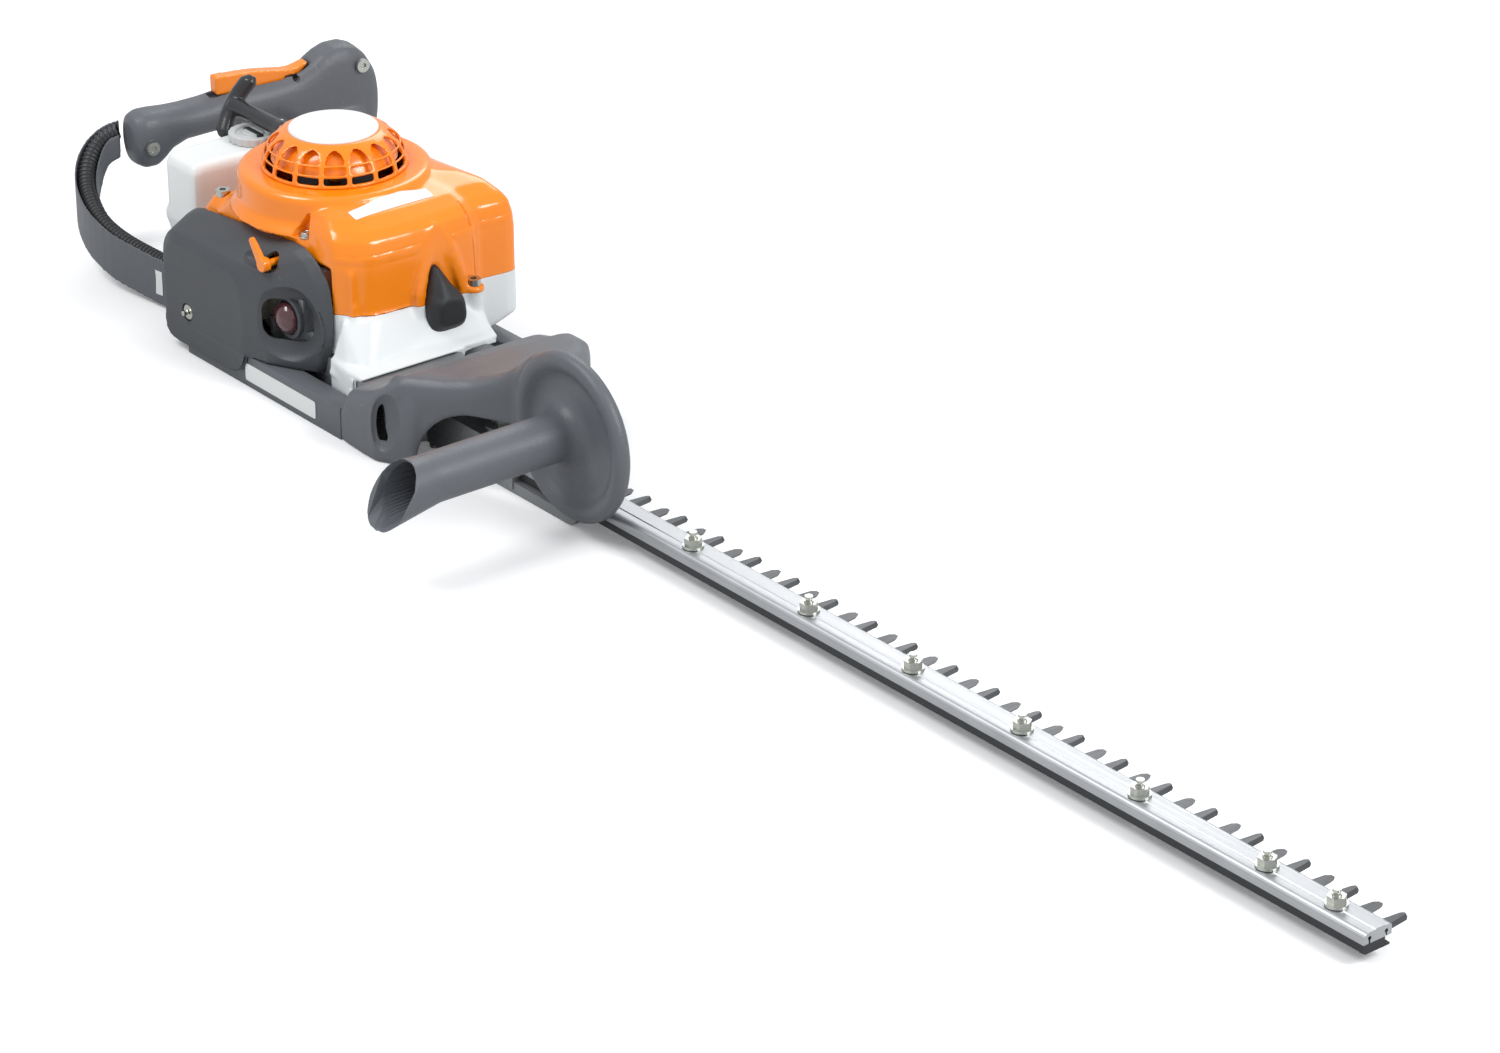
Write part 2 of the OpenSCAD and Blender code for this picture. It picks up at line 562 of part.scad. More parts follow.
// Black cover on the near side: a bay with a sloped roof and a slanted front face
function cover_outer(g) = [
  in_xz(soft([[-97 + g, 8 + g, 8], [20, 8 + g, 8], [70 - g, 18 + g, 14], [83 - g, 50, 16], [80 - g, 90, 12],
              [56 - g, 111 - g, 22], [10, 107 - g, 14], [-84, 97 - g, 10], [-97 + g, 82 - g, 8]]), cover_rim + (g > 0 ? 1 : 0)),
  in_xz(soft([[-97 + g, 6 + g, 10], [20, 7 + g, 8], [66 - g, 17 + g, 14], [78 - g, 48, 16], [74 - g, 86, 12],
              [50 - g, 107 - g, 20], [10, 104 - g, 14], [-84, 95 - g, 10], [-97 + g, 80 - g, 8]]), -66),
  in_xz(soft([[-92 + g, 2 + g, 14], [0, 4 + g, 8], [30 - g, 12 + g, 10], [38 - g, 44, 12], [34 - g, 76 - g, 10],
              [20 - g, 90 - g, 12], [0, 88 - g, 6], [-82, 86 - g, 6], [-92 + g, 74 - g, 10]]), cover_face + 4 + g),
  in_xz(soft([[-86 + g, 6 + g, 14], [-4, 6 + g, 6], [6 - g, 14 + g, 8], [12 - g, 42, 8], [8 - g, 68 - g, 8],
              [2 - g, 80 - g, 6], [-10, 81 - g, 4], [-76, 80 - g, 6], [-86 + g, 70 - g, 10]]), cover_face + g)];
window_at = [46, -76, 57];
module filter_cover() color("#36383c") difference() {
  loft(cover_outer(0));
  loft(cover_outer(cover_wall));
  rail_gap();
  for (p = buffer_at) if (p[1] < 0) ear_gap(p);
  translate([-92, near_rail_in - 1, 0]) cube([118, 30, 15]);
  // window over the purge bulb, cut square to the slanted face
  translate(window_at) rotate([0, 0, 34]) rotate([90, 0, 0]) translate([0, 0, -20])
    linear_extrude(40) polygon(box_outline(-19, -15, 19, 15, 9, 5));
  // round the gearbox
  translate([0, 0, 2]) linear_extrude(case_top - 1.6) case_plan(6.4);
  // hole of the choke lever's spindle
  along_y(choke_at[0], cover_face - 10, choke_at[2], 30, 9);
  along_y(-58, cover_face - 1, 32, 10, 3);
}

// White lower housing: narrow between the rails, wider above the far rail round the muffler
function housing_plan(far) = [
  [-52, far, 12], [-52, cover_rim + 1, 10], [80, cover_rim + 1, 5], [97, -41, 8], [101, 2, 30],
  [97, 48, 6], [92, 53, 4], [far > far_rail_in ? 96 : 92, far, 12]];
lower_far = far_rail_in - 1;
upper_far = 87;
function inward(v, s, t) = [for (p = v) [20 + s*(p[0] - 20), 10 + t*(p[1] - 10), p[2]*s]];
function housing_ring(far, s, z) = in_xy(soft(inward(housing_plan(far), s, s)), z);
module housing_wall(far, g, z0, z1) translate([0, 0, z0]) linear_extrude(z1 - z0)
  offset(delta = -g) polygon(soft(housing_plan(far)));
module housing_shell() loft([housing_ring(lower_far, 0.96, case_top - 22), housing_ring(lower_far, 0.99, case_top - 15),
        housing_ring(lower_far, 1, rail_h + 6), housing_ring(upper_far, 1, case_top), housing_ring(upper_far, 1, split_z + 5)]);
lug_at = [104, 40];
// Foot of the housing, drawn down over the front of the gearbox, with a skirt up to the wall
foot_end = 126;
module housing_foot() difference() {
  union() {
    intersection() {
      translate([0, 0, case_top - 22]) linear_extrude(22.4 + cover_wall) offset(delta = cover_wall) case_plan(6.4);
      translate([84, near_rail_in + 0.4, 0]) cube([foot_end - 84, far_rail_in - near_rail_in - 1, 60]);
    }
    along_y_outline([[92, case_top + 1], [foot_end - 2, case_top + 1], [foot_end - 3, case_top + 3], [112, case_top + 6],
      [104, case_top + 12], [100, case_top + 22], [92, case_top + 22]], -40, 46);
  }
  translate([crank_x - 60, bar_near - 6.4, 0]) cube([200, bar_w + 12.8, bar_top + 9.4]);
  translate([crank_x, bar_y, 0]) cylinder(r = tray_r + 4.4, h = bar_z + 6.4);
}
module along_y_outline(v, y0, y1) translate([0, y1, 0]) rotate([90, 0, 0]) linear_extrude(y1 - y0) polygon(v);
module engine_housing() color(housing_white) difference() {
  union() {
    housing_shell();
    housing_foot();
    translate([lug_at[0], lug_at[1], case_top + 8]) cylinder(r = 6.5, h = split_z - case_top - 8);
  }
  translate([lug_at[0], lug_at[1], split_z - 16]) cylinder(r = 2.3, h = 17);
  translate([-60, -100, split_z]) cube([200, 200, 10]);
  housing_wall(upper_far, cover_wall, case_top + floor_t, split_z + 1);
  housing_wall(lower_far, 8, case_top - 23, case_top);
  translate([0, 0, case_top - 1]) cylinder(r = drum_r + 13, h = floor_t + 2);
  // the gearbox passes through the front wall
  translate([0, 0, case_top - 26]) linear_extrude(26.4) case_plan(6.4);
  carb_gap();
  boot_gap();
  for (p = buffer_at) ear_gap(p);
}
floor_t = 3;

// Orange shroud: fan housing, front block over the cylinder, apron and the slotted starter dome
module carb_gap() translate([24, cover_rim - 1, cyl_z - 30]) cube([54, 20, 54]);
fan_floor = 95;
// Rounding of the shroud's tops: [length left, width left, height]
block_layers = [[1, 1, fan_case_top - 38], [0.985, 0.99, fan_case_top - 28], [0.95, 0.97, fan_case_top - 20],
  [0.88, 0.93, fan_case_top - 15], [0.72, 0.86, fan_case_top - 9], [0.5, 0.72, fan_case_top - 5],
  [0.34, 0.45, fan_case_top - 2.5]];
apron_layers = [[1, 1, 90], [0.97, 0.97, 101], [0.88, 0.88, 108], [0.8, 0.8, 111]];
module shroud() color(shroud_orange) difference() {
  union() {
    fan_case();
    block_body(0, split_z, block_layers[0][2]);
    loft([for (r = block_layers) in_xy(soft(inward(block_plan, r[0], r[1])), r[2])]);
    apron_body(0, split_z, apron_layers[0][2]);
    loft([for (r = apron_layers) in_xy(soft(inward(apron_plan, r[0], r[1])), r[2])]);
    along_x(neck_end, rope_y, rope_z, -neck_end - 58, 8);
    translate([lug_at[0], lug_at[1], split_z]) cylinder(r = 7.5, h = 4);
  }
  difference() {
    translate([0, 0, fan_floor + 1]) cylinder(r = fan_case_r - 4, h = fan_case_top - cover_wall - fan_floor - 1);
    near_flat(4, 3);
  }
  block_body(cover_wall, split_z - 1, block_layers[1][2]);
  apron_body(cover_wall, split_z - 1, 98);
  translate([0, 0, fan_case_top - 6]) cylinder(r = dome_r - 2, h = 10);
  boot_gap();
  carb_gap();
  for (p = shroud_screw_at) translate(p) {
    cylinder(r = 6, h = 5);
    translate([0, 0, 5 - eps]) cylinder(r1 = 6, r2 = 1, h = 14);
    translate([0, 0, -20]) cylinder(r = 2.3, h = 21);
  }
  along_x(neck_end - 1, rope_y, rope_z, -neck_end - 40, 3);
}
module block_body(g, z0, z1) translate([0, 0, z0]) linear_extrude(z1 - z0) offset(delta = -g) polygon(soft(block_plan));
module apron_body(g, z0, z1) translate([0, 0, z0]) linear_extrude(z1 - z0) offset(delta = -g) polygon(soft(apron_plan));
block_plan = [
  [-10, 76, 18], [-10, -50, 18], [62, cover_rim + 1, 10], [80, cover_rim + 1, 5], [97, -41, 8], [101, 2, 30],
  [97, 48, 6], [92, 53, 4], [96, upper_far, 12]];
apron_plan = [
  [-52, 70, 18], [-78, -30, 14], [-80, cover_rim + 1, 6], [40, cover_rim + 1, 20], [76, -52, 10], [80, 60, 20]];
module fan_case() difference() {
  rotate_extrude() polygon(concat(
    [[0, fan_floor], [fan_case_r, fan_floor]],
    [for (a = [0:22.5:90]) [fan_case_r - 5 + 5*cos(a), fan_case_top - 5 + 5*sin(a)]],
    [[0, fan_case_top]]));
  near_flat(0.6, 0);
}
// The fan housing is cut flat above the cover's rim, up to this height
flat_top = 112;
module near_flat(g, up) translate([-45, cover_rim + g - 30, fan_floor - 1])
  cube([90, 30, flat_top + up - fan_floor + 1]);

// Starter dome: arched ribs between two rings, with the cap's seat on top
dome_ribs = 16;
function dome_r_at(z) = cap_r + 2 + (dome_r - cap_r - 2)*sqrt(max(0, 1 - pow(z/dome_h, 1.7)));
dome_wall = 3;
module starter_dome() color(shroud_orange) difference() {
  union() {
    translate([0, 0, fan_case_top]) rotate_extrude() polygon(concat(
      [for (i = [0:6]) let (z = dome_h*i/6) [dome_r_at(z), z]],
      [[4, dome_h], [4, dome_h - 3]],
      [for (i = [5:-1:0]) let (z = dome_h*i/6) [dome_r_at(z) - dome_wall, z - (i == 5 ? 1 : 0)]]));
    translate([0, 0, rotor_z + 1.2]) cylinder(r = 5, h = fan_case_top + dome_h - 2 - rotor_z);
  }
  for (tier = dome_tiers) for (i = [0:dome_ribs - 1]) rotate(i*360/dome_ribs) {
    r = dome_r_at(tier[0] + tier[1]/2);
    w = PI*r/dome_ribs - 1.2;
    translate([r - 7, 0, fan_case_top + tier[0]]) rotate([90, 0, 90])
      linear_extrude(12) polygon([[-w, 0], [w, 0], [w - 0.5, tier[1]], [-w + 0.5, tier[1]]]);
  }
}
dome_tiers = [[2.4, 5], [8.8, 4.4], [14.6, 3]];
rope_y = rotor_r + 2.5;
rope_z = rotor_z + rotor_h/2;
neck_end = -100;

shroud_screw_at = [[-68, -48, 106], [43, -53, 106], [lug_at[0], lug_at[1], split_z + 4], [-40, 62, 100]];
module shroud_screws() color("#c4c8ca") for (p = shroud_screw_at) translate(p) socket_screw(5, 4.5, 2.2, 8.6);
module cap_disc() color("#f2f3f3") translate([0, 0, fan_case_top + dome_h]) rotate_extrude()
  polygon([[0, 0], [cap_r, 0], [cap_r, 0.8], [cap_r - 0.8, 1.6], [0, 2.2]]);
module rope_rotor() color("#3a3c40") translate([0, 0, rotor_z]) difference() {
  rotate_extrude() polygon([[0, 0], [rotor_r + 3, 0], [rotor_r + 3, 1.6], [rotor_r - 2, 2.6], [rotor_r - 2, rotor_h - 2.6],
                            [rotor_r + 3, rotor_h - 1.6], [rotor_r + 3, rotor_h], [0, rotor_h]]);
  translate([0, 0, 1]) cylinder(r = 5 + running_fit, h = rotor_h);
}
rope_r = 1.75;
module starter_rope() color("#e0e0dc") along_x(neck_end - 0.4, rope_y, rope_z, 96, rope_r);
module starter_handle() color("#33353a") translate([neck_end - 0.4, rope_y, rope_z]) rotate([0, -90, 0]) {
  rotate_extrude() polygon([[0, 0.2], [5, 0.2], [6.5, 3], [5.4, 12], [5, 50], [6, 67], [0, 71]]);
  translate([0, 0, 69]) rotate([0, 0, 125]) rotate([90, 0, 0]) loft([for (s = [-24, -20, -10, 0, 10, 20, 24])
    in_xy(oval(0, -abs(s)*abs(s)/100, abs(s) > 23 ? 2 : 5, abs(s) > 23 ? 3 : 6.5, 14), s)]);
}

// ---------------------------------------------------------------- fuel tank
tank_white = "#eef0ec";
tank_rear = -156;
tank_top = 110;
function tank_ring(rear, near, front_near, front_far, z, cut) = in_xy(soft([
  [rear, -36 + near, cut], [rear + 6, -42 + near, cut], [front_near, -42 + near, cut],
  [front_far, 45 - near, cut], [rear, 45 - near, cut]], 2), z);
module fuel_tank() color(tank_white) difference() {
  loft([
    tank_ring(tank_rear + 34, 12, -54, -54, 22, 4),
    tank_ring(tank_rear + 2, 2, -52.3, -52.3, 46, 5),
    tank_ring(tank_rear - 5, 0, -52.3, -52.3, 62, 5),
    tank_ring(tank_rear - 4, 0, -52.3, -52.3, 66, 5),
    tank_ring(tank_rear, 0, -114, -110, 72, 5),
    tank_ring(tank_rear, 0, -114, -110, tank_top - 6, 5),
    tank_ring(tank_rear + 2, 2, -116, -112, tank_top - 1.5, 5),
    tank_ring(tank_rear + 6, 6, -120, -116, tank_top, 4)]);
  translate([cap_at[0], cap_at[1], tank_top - 12]) cylinder(r = cap_bore, h = 14);
}
cap_at = [-134, 22];
cap_bore = 14;
module fuel_cap() color("#2c2e32") translate([cap_at[0], cap_at[1], tank_top]) {
  translate([0, 0, -9]) cylinder(r = cap_bore - running_fit, h = 10);
  difference() {
    translate([0, 0, 0.2]) cylinder(r = cap_bore + 4, h = 5.6);
    for (a = [0:20:340]) rotate(a) translate([cap_bore + 5, 0, -1]) cylinder(r = 1.8, h = 10, $fn = 16);
    translate([0, 0, 4]) ring(cap_bore - 1, cap_bore - 6, 4);
  }
}

// ---------------------------------------------------------------- frame
rail_wall = 3;
rail_front = 123;
bow_start = [-100, -56];
bow_w = 16;
near_plan = [
  [rail_front, -near_rail_y], [rail_front, near_rail_in], [-56, near_rail_in], [-72, -58], [-86, -45],
  [bow_start[0], bow_start[1] + bow_w], bow_start, [-84, -70], [-62, -near_rail_y]];
far_rail_rear = -118;
far_plan = [
  [rail_front, far_rail_in], [rail_front, far_rail_y], [far_rail_rear, far_rail_y], [far_rail_rear, far_rail_in]];

// Channel open below with cross ribs, drawn from its plan
module rail(plan, y_mid) {
  difference() {
    linear_extrude(rail_h) polygon(plan);
    translate([0, 0, -1]) linear_extrude(rail_h - rail_wall + 1) offset(delta = -rail_wall) polygon(plan);
  }
  for (x = [-40:32:rail_front - 20]) translate([x, y_mid - rail_w/2 + 1, 2]) cube([2, rail_w - 2, rail_h - 3]);
}
module near_rail() color(frame_grey) difference() {
  rail(near_plan, near_rail_in - rail_w/2);
  translate([crank_x, bar_y, -1]) cylinder(r = tray_r + 4.4, h = bar_z + 7.4);
}
module far_rail() color(frame_grey) rail(far_plan, far_rail_in + rail_w/2);

// Space that covers leave round the near rail, the hose and the buffers
module rail_gap() {
  translate([0, 0, -1]) linear_extrude(rail_h + 1.4) offset(delta = 0.4) polygon(near_plan);
  translate([bow_start[0] - 6, bow_start[1] - 3, 18]) cube([16, 12, 20]);
}
module ear_gap(p) translate([p[0] - 10, p[1] > 0 ? 5 : -72, 6]) cube([20, p[1] > 0 ? 60 : 42, 19]);

// Rubber buffers between the rails and the gearbox's ears: [x, side]
buffer_at = [[-25, -1], [30, -1], [-25, 1], [100, 1]];
buffer_z = 16;
buffer_len = 8;
function rail_side(side) = side > 0 ? far_rail_in : near_rail_in;
module buffers() color("#1e1f22") for (p = buffer_at) translate([p[0], rail_side(p[1]), buffer_z])
  rotate([90*p[1], 0, 0]) rotate_extrude()
    polygon([[0, 0], [6, 0], [6, 1], [4.8, 2.5], [4.8, buffer_len - 2.5], [6, buffer_len - 1], [6, buffer_len], [0, buffer_len]]);
module buffer_ear(p) {
  seat = rail_side(p[1]) - p[1]*buffer_len;
  translate([p[0], seat, buffer_z]) rotate([90*p[1], 0, 0]) cylinder(r = 7, h = 6);
  translate([p[0] - 7, p[1] > 0 ? 8 : seat, bar_z]) cube([14, abs(seat) - (p[1] > 0 ? 8 : 30), 8.9]);
}

// Saddle of the front handle: an inverted channel from the rails up to the hand-stop disc
saddle_wall = 4;
function saddle_ring(x, near, far, near_top, far_top, cut) =
  let (w = saddle_wall, c = max(cut - w, 1)) in_yz(soft([
    [near, 0, 1], [near + w, 0, 0.5], [near + w, near_top - w, c], [far - w, far_top - w, c],
    [far - w, 0, 0.5], [far, 0, 1], [far, far_top, cut], [near, near_top, cut]]), x);
saddle = [
  [123, -86, 79, 24, 23, 5], [132, -87, 79, 40, 37, 10], [150, -88, 79, 46, 42, 12], [165, -88, 76, 53, 48, 13], [181, -80, 70, 65, 58, 14],
  [206, -66.4, 62, 67, 64, 14], [226, -56, 46, 71, 68, 14], [244, -47, 24, 79, 77, 13], [258, -41, 2, 89, 88, 12],
  [274, -41, -16, 102, 101, 8], [296, -41, -26, 108, 107, 5]];
grip_x = 323;
disc_at = [330, 66];
disc_back = bar_near - 1.1;
disc_t = 5;
rim_r = 6;
module front_handle() color(frame_grey) {
  difference() {
    loft([for (s = saddle) saddle_ring(s[0], s[1], s[2], s[3], s[4], s[5])]);
    // legs only behind the gearbox, and the arch over its nose and the cutter
    translate([100, near_rail_in, -1]) cube([foot_end + 0.5 - 100, far_rail_in - near_rail_in, 120]);
    translate([0, 0, -1]) linear_extrude(case_top + 1.4) case_plan(6.4);
    translate([0, 100, 0]) rotate([90, 0, 0]) linear_extrude(220) polygon(concat(
      [[190, -1]], [for (a = [0:15:90]) [232 - 41*cos(a), 4 + 42*sin(a)]], [[310, 46], [310, -1]]));
    // teardrop recess in the near leg
    hull() {
      translate([184, -82, 50]) sphere(r = 3, $fn = 20);
      translate([176, -90, 22]) sphere(r = 9, $fn = 24);
    }
  }
  translate([disc_at[0], disc_back, disc_at[1]]) rotate([90, 0, 0]) rotate_extrude() polygon(concat(
    [[0, 0], [disc_r - rim_r, 0]],
    [for (a = [-60:30:90]) [disc_r - rim_r + rim_r*cos(a), rim_r + rim_r*sin(a)]],
    [[disc_r - 10, 2*rim_r - 1], [disc_r - 16, disc_t + 1], [disc_r - 20, disc_t], [0, disc_t]]));
}
grip_wall = 3;
grip_len = 152;
flare_r = 12;
lip_tilt = 24;
// Thickness of the wall that closes the tube at the disc
grip_plug = 8;
module front_grip() color(frame_grey) difference() {
  translate([grip_x, disc_back - disc_t, front_grip_z]) rotate([90, 0, 0]) rotate_extrude() polygon(concat(
    [[0, 0]],
    [for (a = [0:15:90]) [front_grip_r + flare_r*(1 - sin(a)), flare_r*(1 - cos(a))]],
    [[front_grip_r, grip_len], [front_grip_r - grip_wall, grip_len], [front_grip_r - grip_wall, grip_plug], [0, grip_plug]]));
  translate([grip_x, -175, 90]) rotate([-lip_tilt, 0, 0]) translate([-40, -60, -90]) cube([80, 60, 130]);
}

// Rear bow: each point is [x, y, height of the outer lip, height of the band]
bow_points = [
  [-100, -56, 36.5, 34], [-117, -57, 36.5, 34], [-135, -58.5, 37, 35], [-154, -61.5, 38.5, 35], [-190, -67, 43, 35],
  [-219, -66.5, 50, 35], [-241, -61, 57.5, 35], [-255, -54, 65.5, 35], [-264, -45, 74, 33], [-268.5, -34, 82, 31],
  [-267.5, -22, 89, 28], [-261, -10.5, 94, 26]];
// Points through a list, with m steps between neighbours
function smooth(v, m) = [
  for (i = [0:len(v) - 2])
    let (a = v[max(i - 1, 0)], b = v[i], c = v[i + 1], d = v[min(i + 2, len(v) - 1)])
    for (k = [0:m - 1]) let (t = k/m)
      0.5*(2*b + (c - a)*t + (2*a - 5*b + 4*c - d)*t*t + (3*b - a - 3*c + d)*t*t*t),
  v[len(v) - 1]];
function plan_dir(v, i) =
  let (a = v[max(i - 1, 0)], b = v[min(i + 1, len(v) - 1)]) unit([b[0] - a[0], b[1] - a[1]]);
bow_wall = 2.4;
groove_r = hose_d/2 + 0.9;
function bow_section(h) = concat(
  [[0, -h], [0, 0], [bow_w/2 - groove_r, 0]],
  [for (a = [180:-30:0]) [bow_w/2 + groove_r*cos(a), -hose_d/2 - 1.35*groove_r*sin(a)]],
  [[bow_w, -hose_d/2], [bow_w, -h + 2], [bow_w - bow_wall, -h + 2],
   [bow_w - bow_wall, -hose_d - 6], [bow_wall, -hose_d - 6], [bow_wall, -h]]);
bow_path = smooth(bow_points, 3);
module rear_bow() color(frame_grey) loft([for (i = [0:len(bow_path) - 1])
  let (p = bow_path[i], t = plan_dir(bow_path, i))
  [for (q = bow_section(p[3])) [p[0] + q[0]*t[1], p[1] - q[0]*t[0], p[2] + q[1]]]]);

// Corrugated hose: from the carburettor below the filter, then in the bow's groove to the rear handle
hose_inner = [[23, -67, 30.5], [8, -67, 30.5], [-16, -67, 30.5], [-48, -66, 30.5], [-76, -60, 30.5]];
hose_route = concat(smooth(hose_inner, 2), [for (i = [0:len(bow_path) - 1])
  let (p = bow_path[i], t = plan_dir(bow_path, i))
  [p[0] + bow_w/2*t[1], p[1] - bow_w/2*t[0], p[2] - hose_d/2]]);
hose_sides = 10;
module cable_hose() color("#2b2c30") loft([for (i = [0:len(hose_route) - 1])
  let (v = hose_route, p = v[i], t = unit(v[min(i + 1, len(v) - 1)] - v[max(i - 1, 0)]),
       side = unit([t[1], -t[0], 0]), up = cross(side, t))
  [for (k = [0:hose_sides - 1]) p + hose_d/2*(cos(360*k/hose_sides)*side - sin(360*k/hose_sides)*up)]]);

// ---------------------------------------------------------------- rear handle
// In the grip's own frame: x across, y along the grip from its near end
rear_turn = 6.3;
rear_at = [-243, -5];
module on_rear() translate([rear_at[0], rear_at[1], 0]) rotate(-rear_turn) children();
// Sections along the grip: [y, lowest, highest, half width, squareness]
grip_sections = [
  [-9, 76, 97.5, 9, 2.6], [-6.5, 66, 102, 13.5, 2.8], [0, 62, 104.3, 15.8, 3], [9, 62, 104.3, 15.8, 3],
  [15, 65.5, 104.2, 15.6, 2.6], [22, 71.5, 104, 15.5, 2.2], [34, 76, 104, 15.5, 2], [50, 77, 104.8, 15.5, 2],
  [74, 77.5, 108, 15.5, 2], [104, 77.5, 108.5, 15.5, 2], [114, 74, 108.5, 15.7, 2.4], [126, 62, 110, 16, 3],
  [136, 52, 114.5, 16.5, 3.4], [146, 43, 121, 16.5, 3.6], [155, 38, 124.3, 16.5, 3.8], [166, 36, 124.5, 16.5, 3.8],
  [174, 36, 121.5, 16.2, 3.6], [182, 40, 114, 15.6, 3.2], [188.5, 56, 103, 13, 2.8], [191.5, 72, 90, 8, 2.4]];
section_sides = 24;
function superellipse(s) = let (mid = (s[1] + s[2])/2, high = (s[2] - s[1])/2) [
  for (i = [0:section_sides - 1]) let (a = 360*(i + 0.5)/section_sides)
    [s[3]*sign(cos(a))*pow(abs(cos(a)), 2/s[4]), mid + high*sign(sin(a))*pow(abs(sin(a)), 2/s[4])]];
trigger_pivot = [121, 86];
lock_pivot = [124, 106];
module rear_handle() color(frame_grey) {
  on_rear() difference() {
    loft([for (i = [len(grip_sections) - 1:-1:0]) in_xz(superellipse(grip_sections[i]), grip_sections[i][0])]);
    // slots of the trigger and the lockout lever
    translate([-6.5, 54, 60]) cube([13, 74, 37.6]);
    translate([-5.5, 56, 99.6]) cube([11, 82, 30]);
    for (p = [trigger_pivot, lock_pivot]) along_x(-12, p[0], p[1], 24, pivot_r);
    for (p = handle_screw_at) along_x(0, p[0], p[1], 30, 2.6);
  }
}
// Arm from the handle's far end down to the far rail
flank_x = rear_at[0] + 17.5;
function on_flank(ring) = [for (p = ring) [flank_x + p[0]*tan(rear_turn), p[0], p[1]]];
module rear_arm() color(frame_grey) loft([
  on_flank(soft([[132, 46, 8], [168, 46, 8], [168, 78, 8], [132, 78, 8]])),
  in_yz(soft([[126, 34, 8], [163, 34, 8], [165, 68, 8], [126, 68, 8]]), -200),
  in_yz(soft([[92, 12, 6], [122, 12, 6], [122, 46, 6], [92, 46, 6]]), -172),
  in_yz(soft([[70, 2, 4], [90, 2, 4], [90, 30, 5], [70, 30, 5]]), -144),
  in_yz(soft([[far_rail_in, 0, 2], [far_rail_y, 0, 2], [far_rail_y, rail_h, 4], [far_rail_in, rail_h, 4]]),
    far_rail_rear)]);
pivot_r = 2.5;
handle_screw_at = [[2, 80.5, 15.85], [174.5, 109, 15.95]];
module handle_screws() color("#c8cccf") on_rear() for (p = handle_screw_at)
  translate([p[2], p[0], p[1]]) rotate([0, 90, 0]) socket_screw(5, 3, 2.5, 15);

module throttle_trigger() color("#232427") on_rear() {
    loft([for (x = [[-5.5, 1.5], [-3.5, 0], [3.5, 0], [5.5, 1.5]]) in_yz(soft([
      [62 + x[1], 76, 4], [66 + x[1], 70 + x[1], 4], [84, 71.5 + x[1], 8], [106, 76 + x[1], 6], [126 - x[1], 80 + x[1], 4],
      [126 - x[1], 91 - x[1], 4], [112, 91 - x[1], 4], [66 + x[1], 88 - x[1], 4]]), x[0])]);
  along_x(-11.8, trigger_pivot[0], trigger_pivot[1], 23.6, pivot_r - running_fit);
}
module lockout_lever() color(shroud_orange) on_rear() {
  translate([-4.8, 0, 0]) rotate([90, 0, 90]) linear_extrude(9.6) polygon(soft([
    [60.5, 105, 2], [96, 103.5, 4], [120, 102.5, 3], [128, 102.5, 2], [128.5, 109, 3], [135, 113.4, 0.8],
    [136, 116, 0.8], [122, 112.2, 5], [92, 117, 6], [60.5, 118.8, 2]]));
  along_x(-11.8, lock_pivot[0], lock_pivot[1], 23.6, pivot_r - running_fit);
}

// ---------------------------------------------------------------- parts
guide_bar();
upper_knife();
lower_knife();
knife_guard();
bar_bolts();
bar_spacers();
bar_nuts();
gearcase();
gearcase_cover();
crank_gear();
eccentric_shaft();
crank_bearing();
idler_gear();
idler_pin();
pinion();
drum_bearing();
clutch_drum();
clutch_housing();
gearcase_screws();
crankshaft();
clutch_shoes();
flywheel();
ignition_coil();
crankcase();
cylinder_block();
spark_plug();
plug_boot();
muffler();
carburettor();
purge_bulb();
choke_lever();
air_filter();
filter_cover();
engine_housing();
shroud();
starter_dome();
shroud_screws();
cap_disc();
rope_rotor();
starter_rope();
starter_handle();
fuel_tank();
fuel_cap();
near_rail();
far_rail();
buffers();
front_handle();
front_grip();
rear_bow();
cable_hose();
rear_handle();
rear_arm();
handle_screws();
throttle_trigger();
lockout_lever();
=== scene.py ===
"""A petrol hedge trimmer with a single-sided cutter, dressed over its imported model."""
import math

import bpy
from mathutils import Matrix, Vector


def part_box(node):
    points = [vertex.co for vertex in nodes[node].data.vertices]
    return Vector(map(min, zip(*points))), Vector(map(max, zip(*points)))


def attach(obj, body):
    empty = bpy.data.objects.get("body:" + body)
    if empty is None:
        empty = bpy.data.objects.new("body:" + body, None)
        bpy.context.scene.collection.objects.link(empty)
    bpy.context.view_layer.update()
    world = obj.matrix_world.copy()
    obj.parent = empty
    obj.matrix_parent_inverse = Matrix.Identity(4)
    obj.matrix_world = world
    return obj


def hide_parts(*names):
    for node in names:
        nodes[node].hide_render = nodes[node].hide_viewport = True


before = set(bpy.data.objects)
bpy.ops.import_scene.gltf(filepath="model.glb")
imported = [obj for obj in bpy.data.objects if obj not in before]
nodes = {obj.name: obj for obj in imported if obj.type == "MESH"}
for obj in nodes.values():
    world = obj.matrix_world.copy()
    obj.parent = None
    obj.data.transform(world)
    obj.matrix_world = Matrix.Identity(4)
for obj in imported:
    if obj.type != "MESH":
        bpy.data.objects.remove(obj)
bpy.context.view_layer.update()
bpy.ops.object.select_all(action="DESELECT")
mm = 0.001


# ---------------------------------------------------------------- studio
# A pale seamless floor in a bright room, a large soft lamp above the near side, a second one beyond
# the cutter and a weak one at the back. The camera stands off the cutter's tip with a long lens.
eye = Vector((2.7140, -1.8201, 1.4543))
sight = Vector((-0.6997, 0.5634, -0.4394))
bpy.ops.object.camera_add(location=eye, rotation=sight.to_track_quat("-Z", "Y").to_euler())
camera = bpy.context.object
camera.data.lens = 122.74
camera.data.sensor_width = 36
camera.data.clip_end = 50
bpy.context.scene.camera = camera
bpy.context.scene.view_settings.view_transform = "Standard"


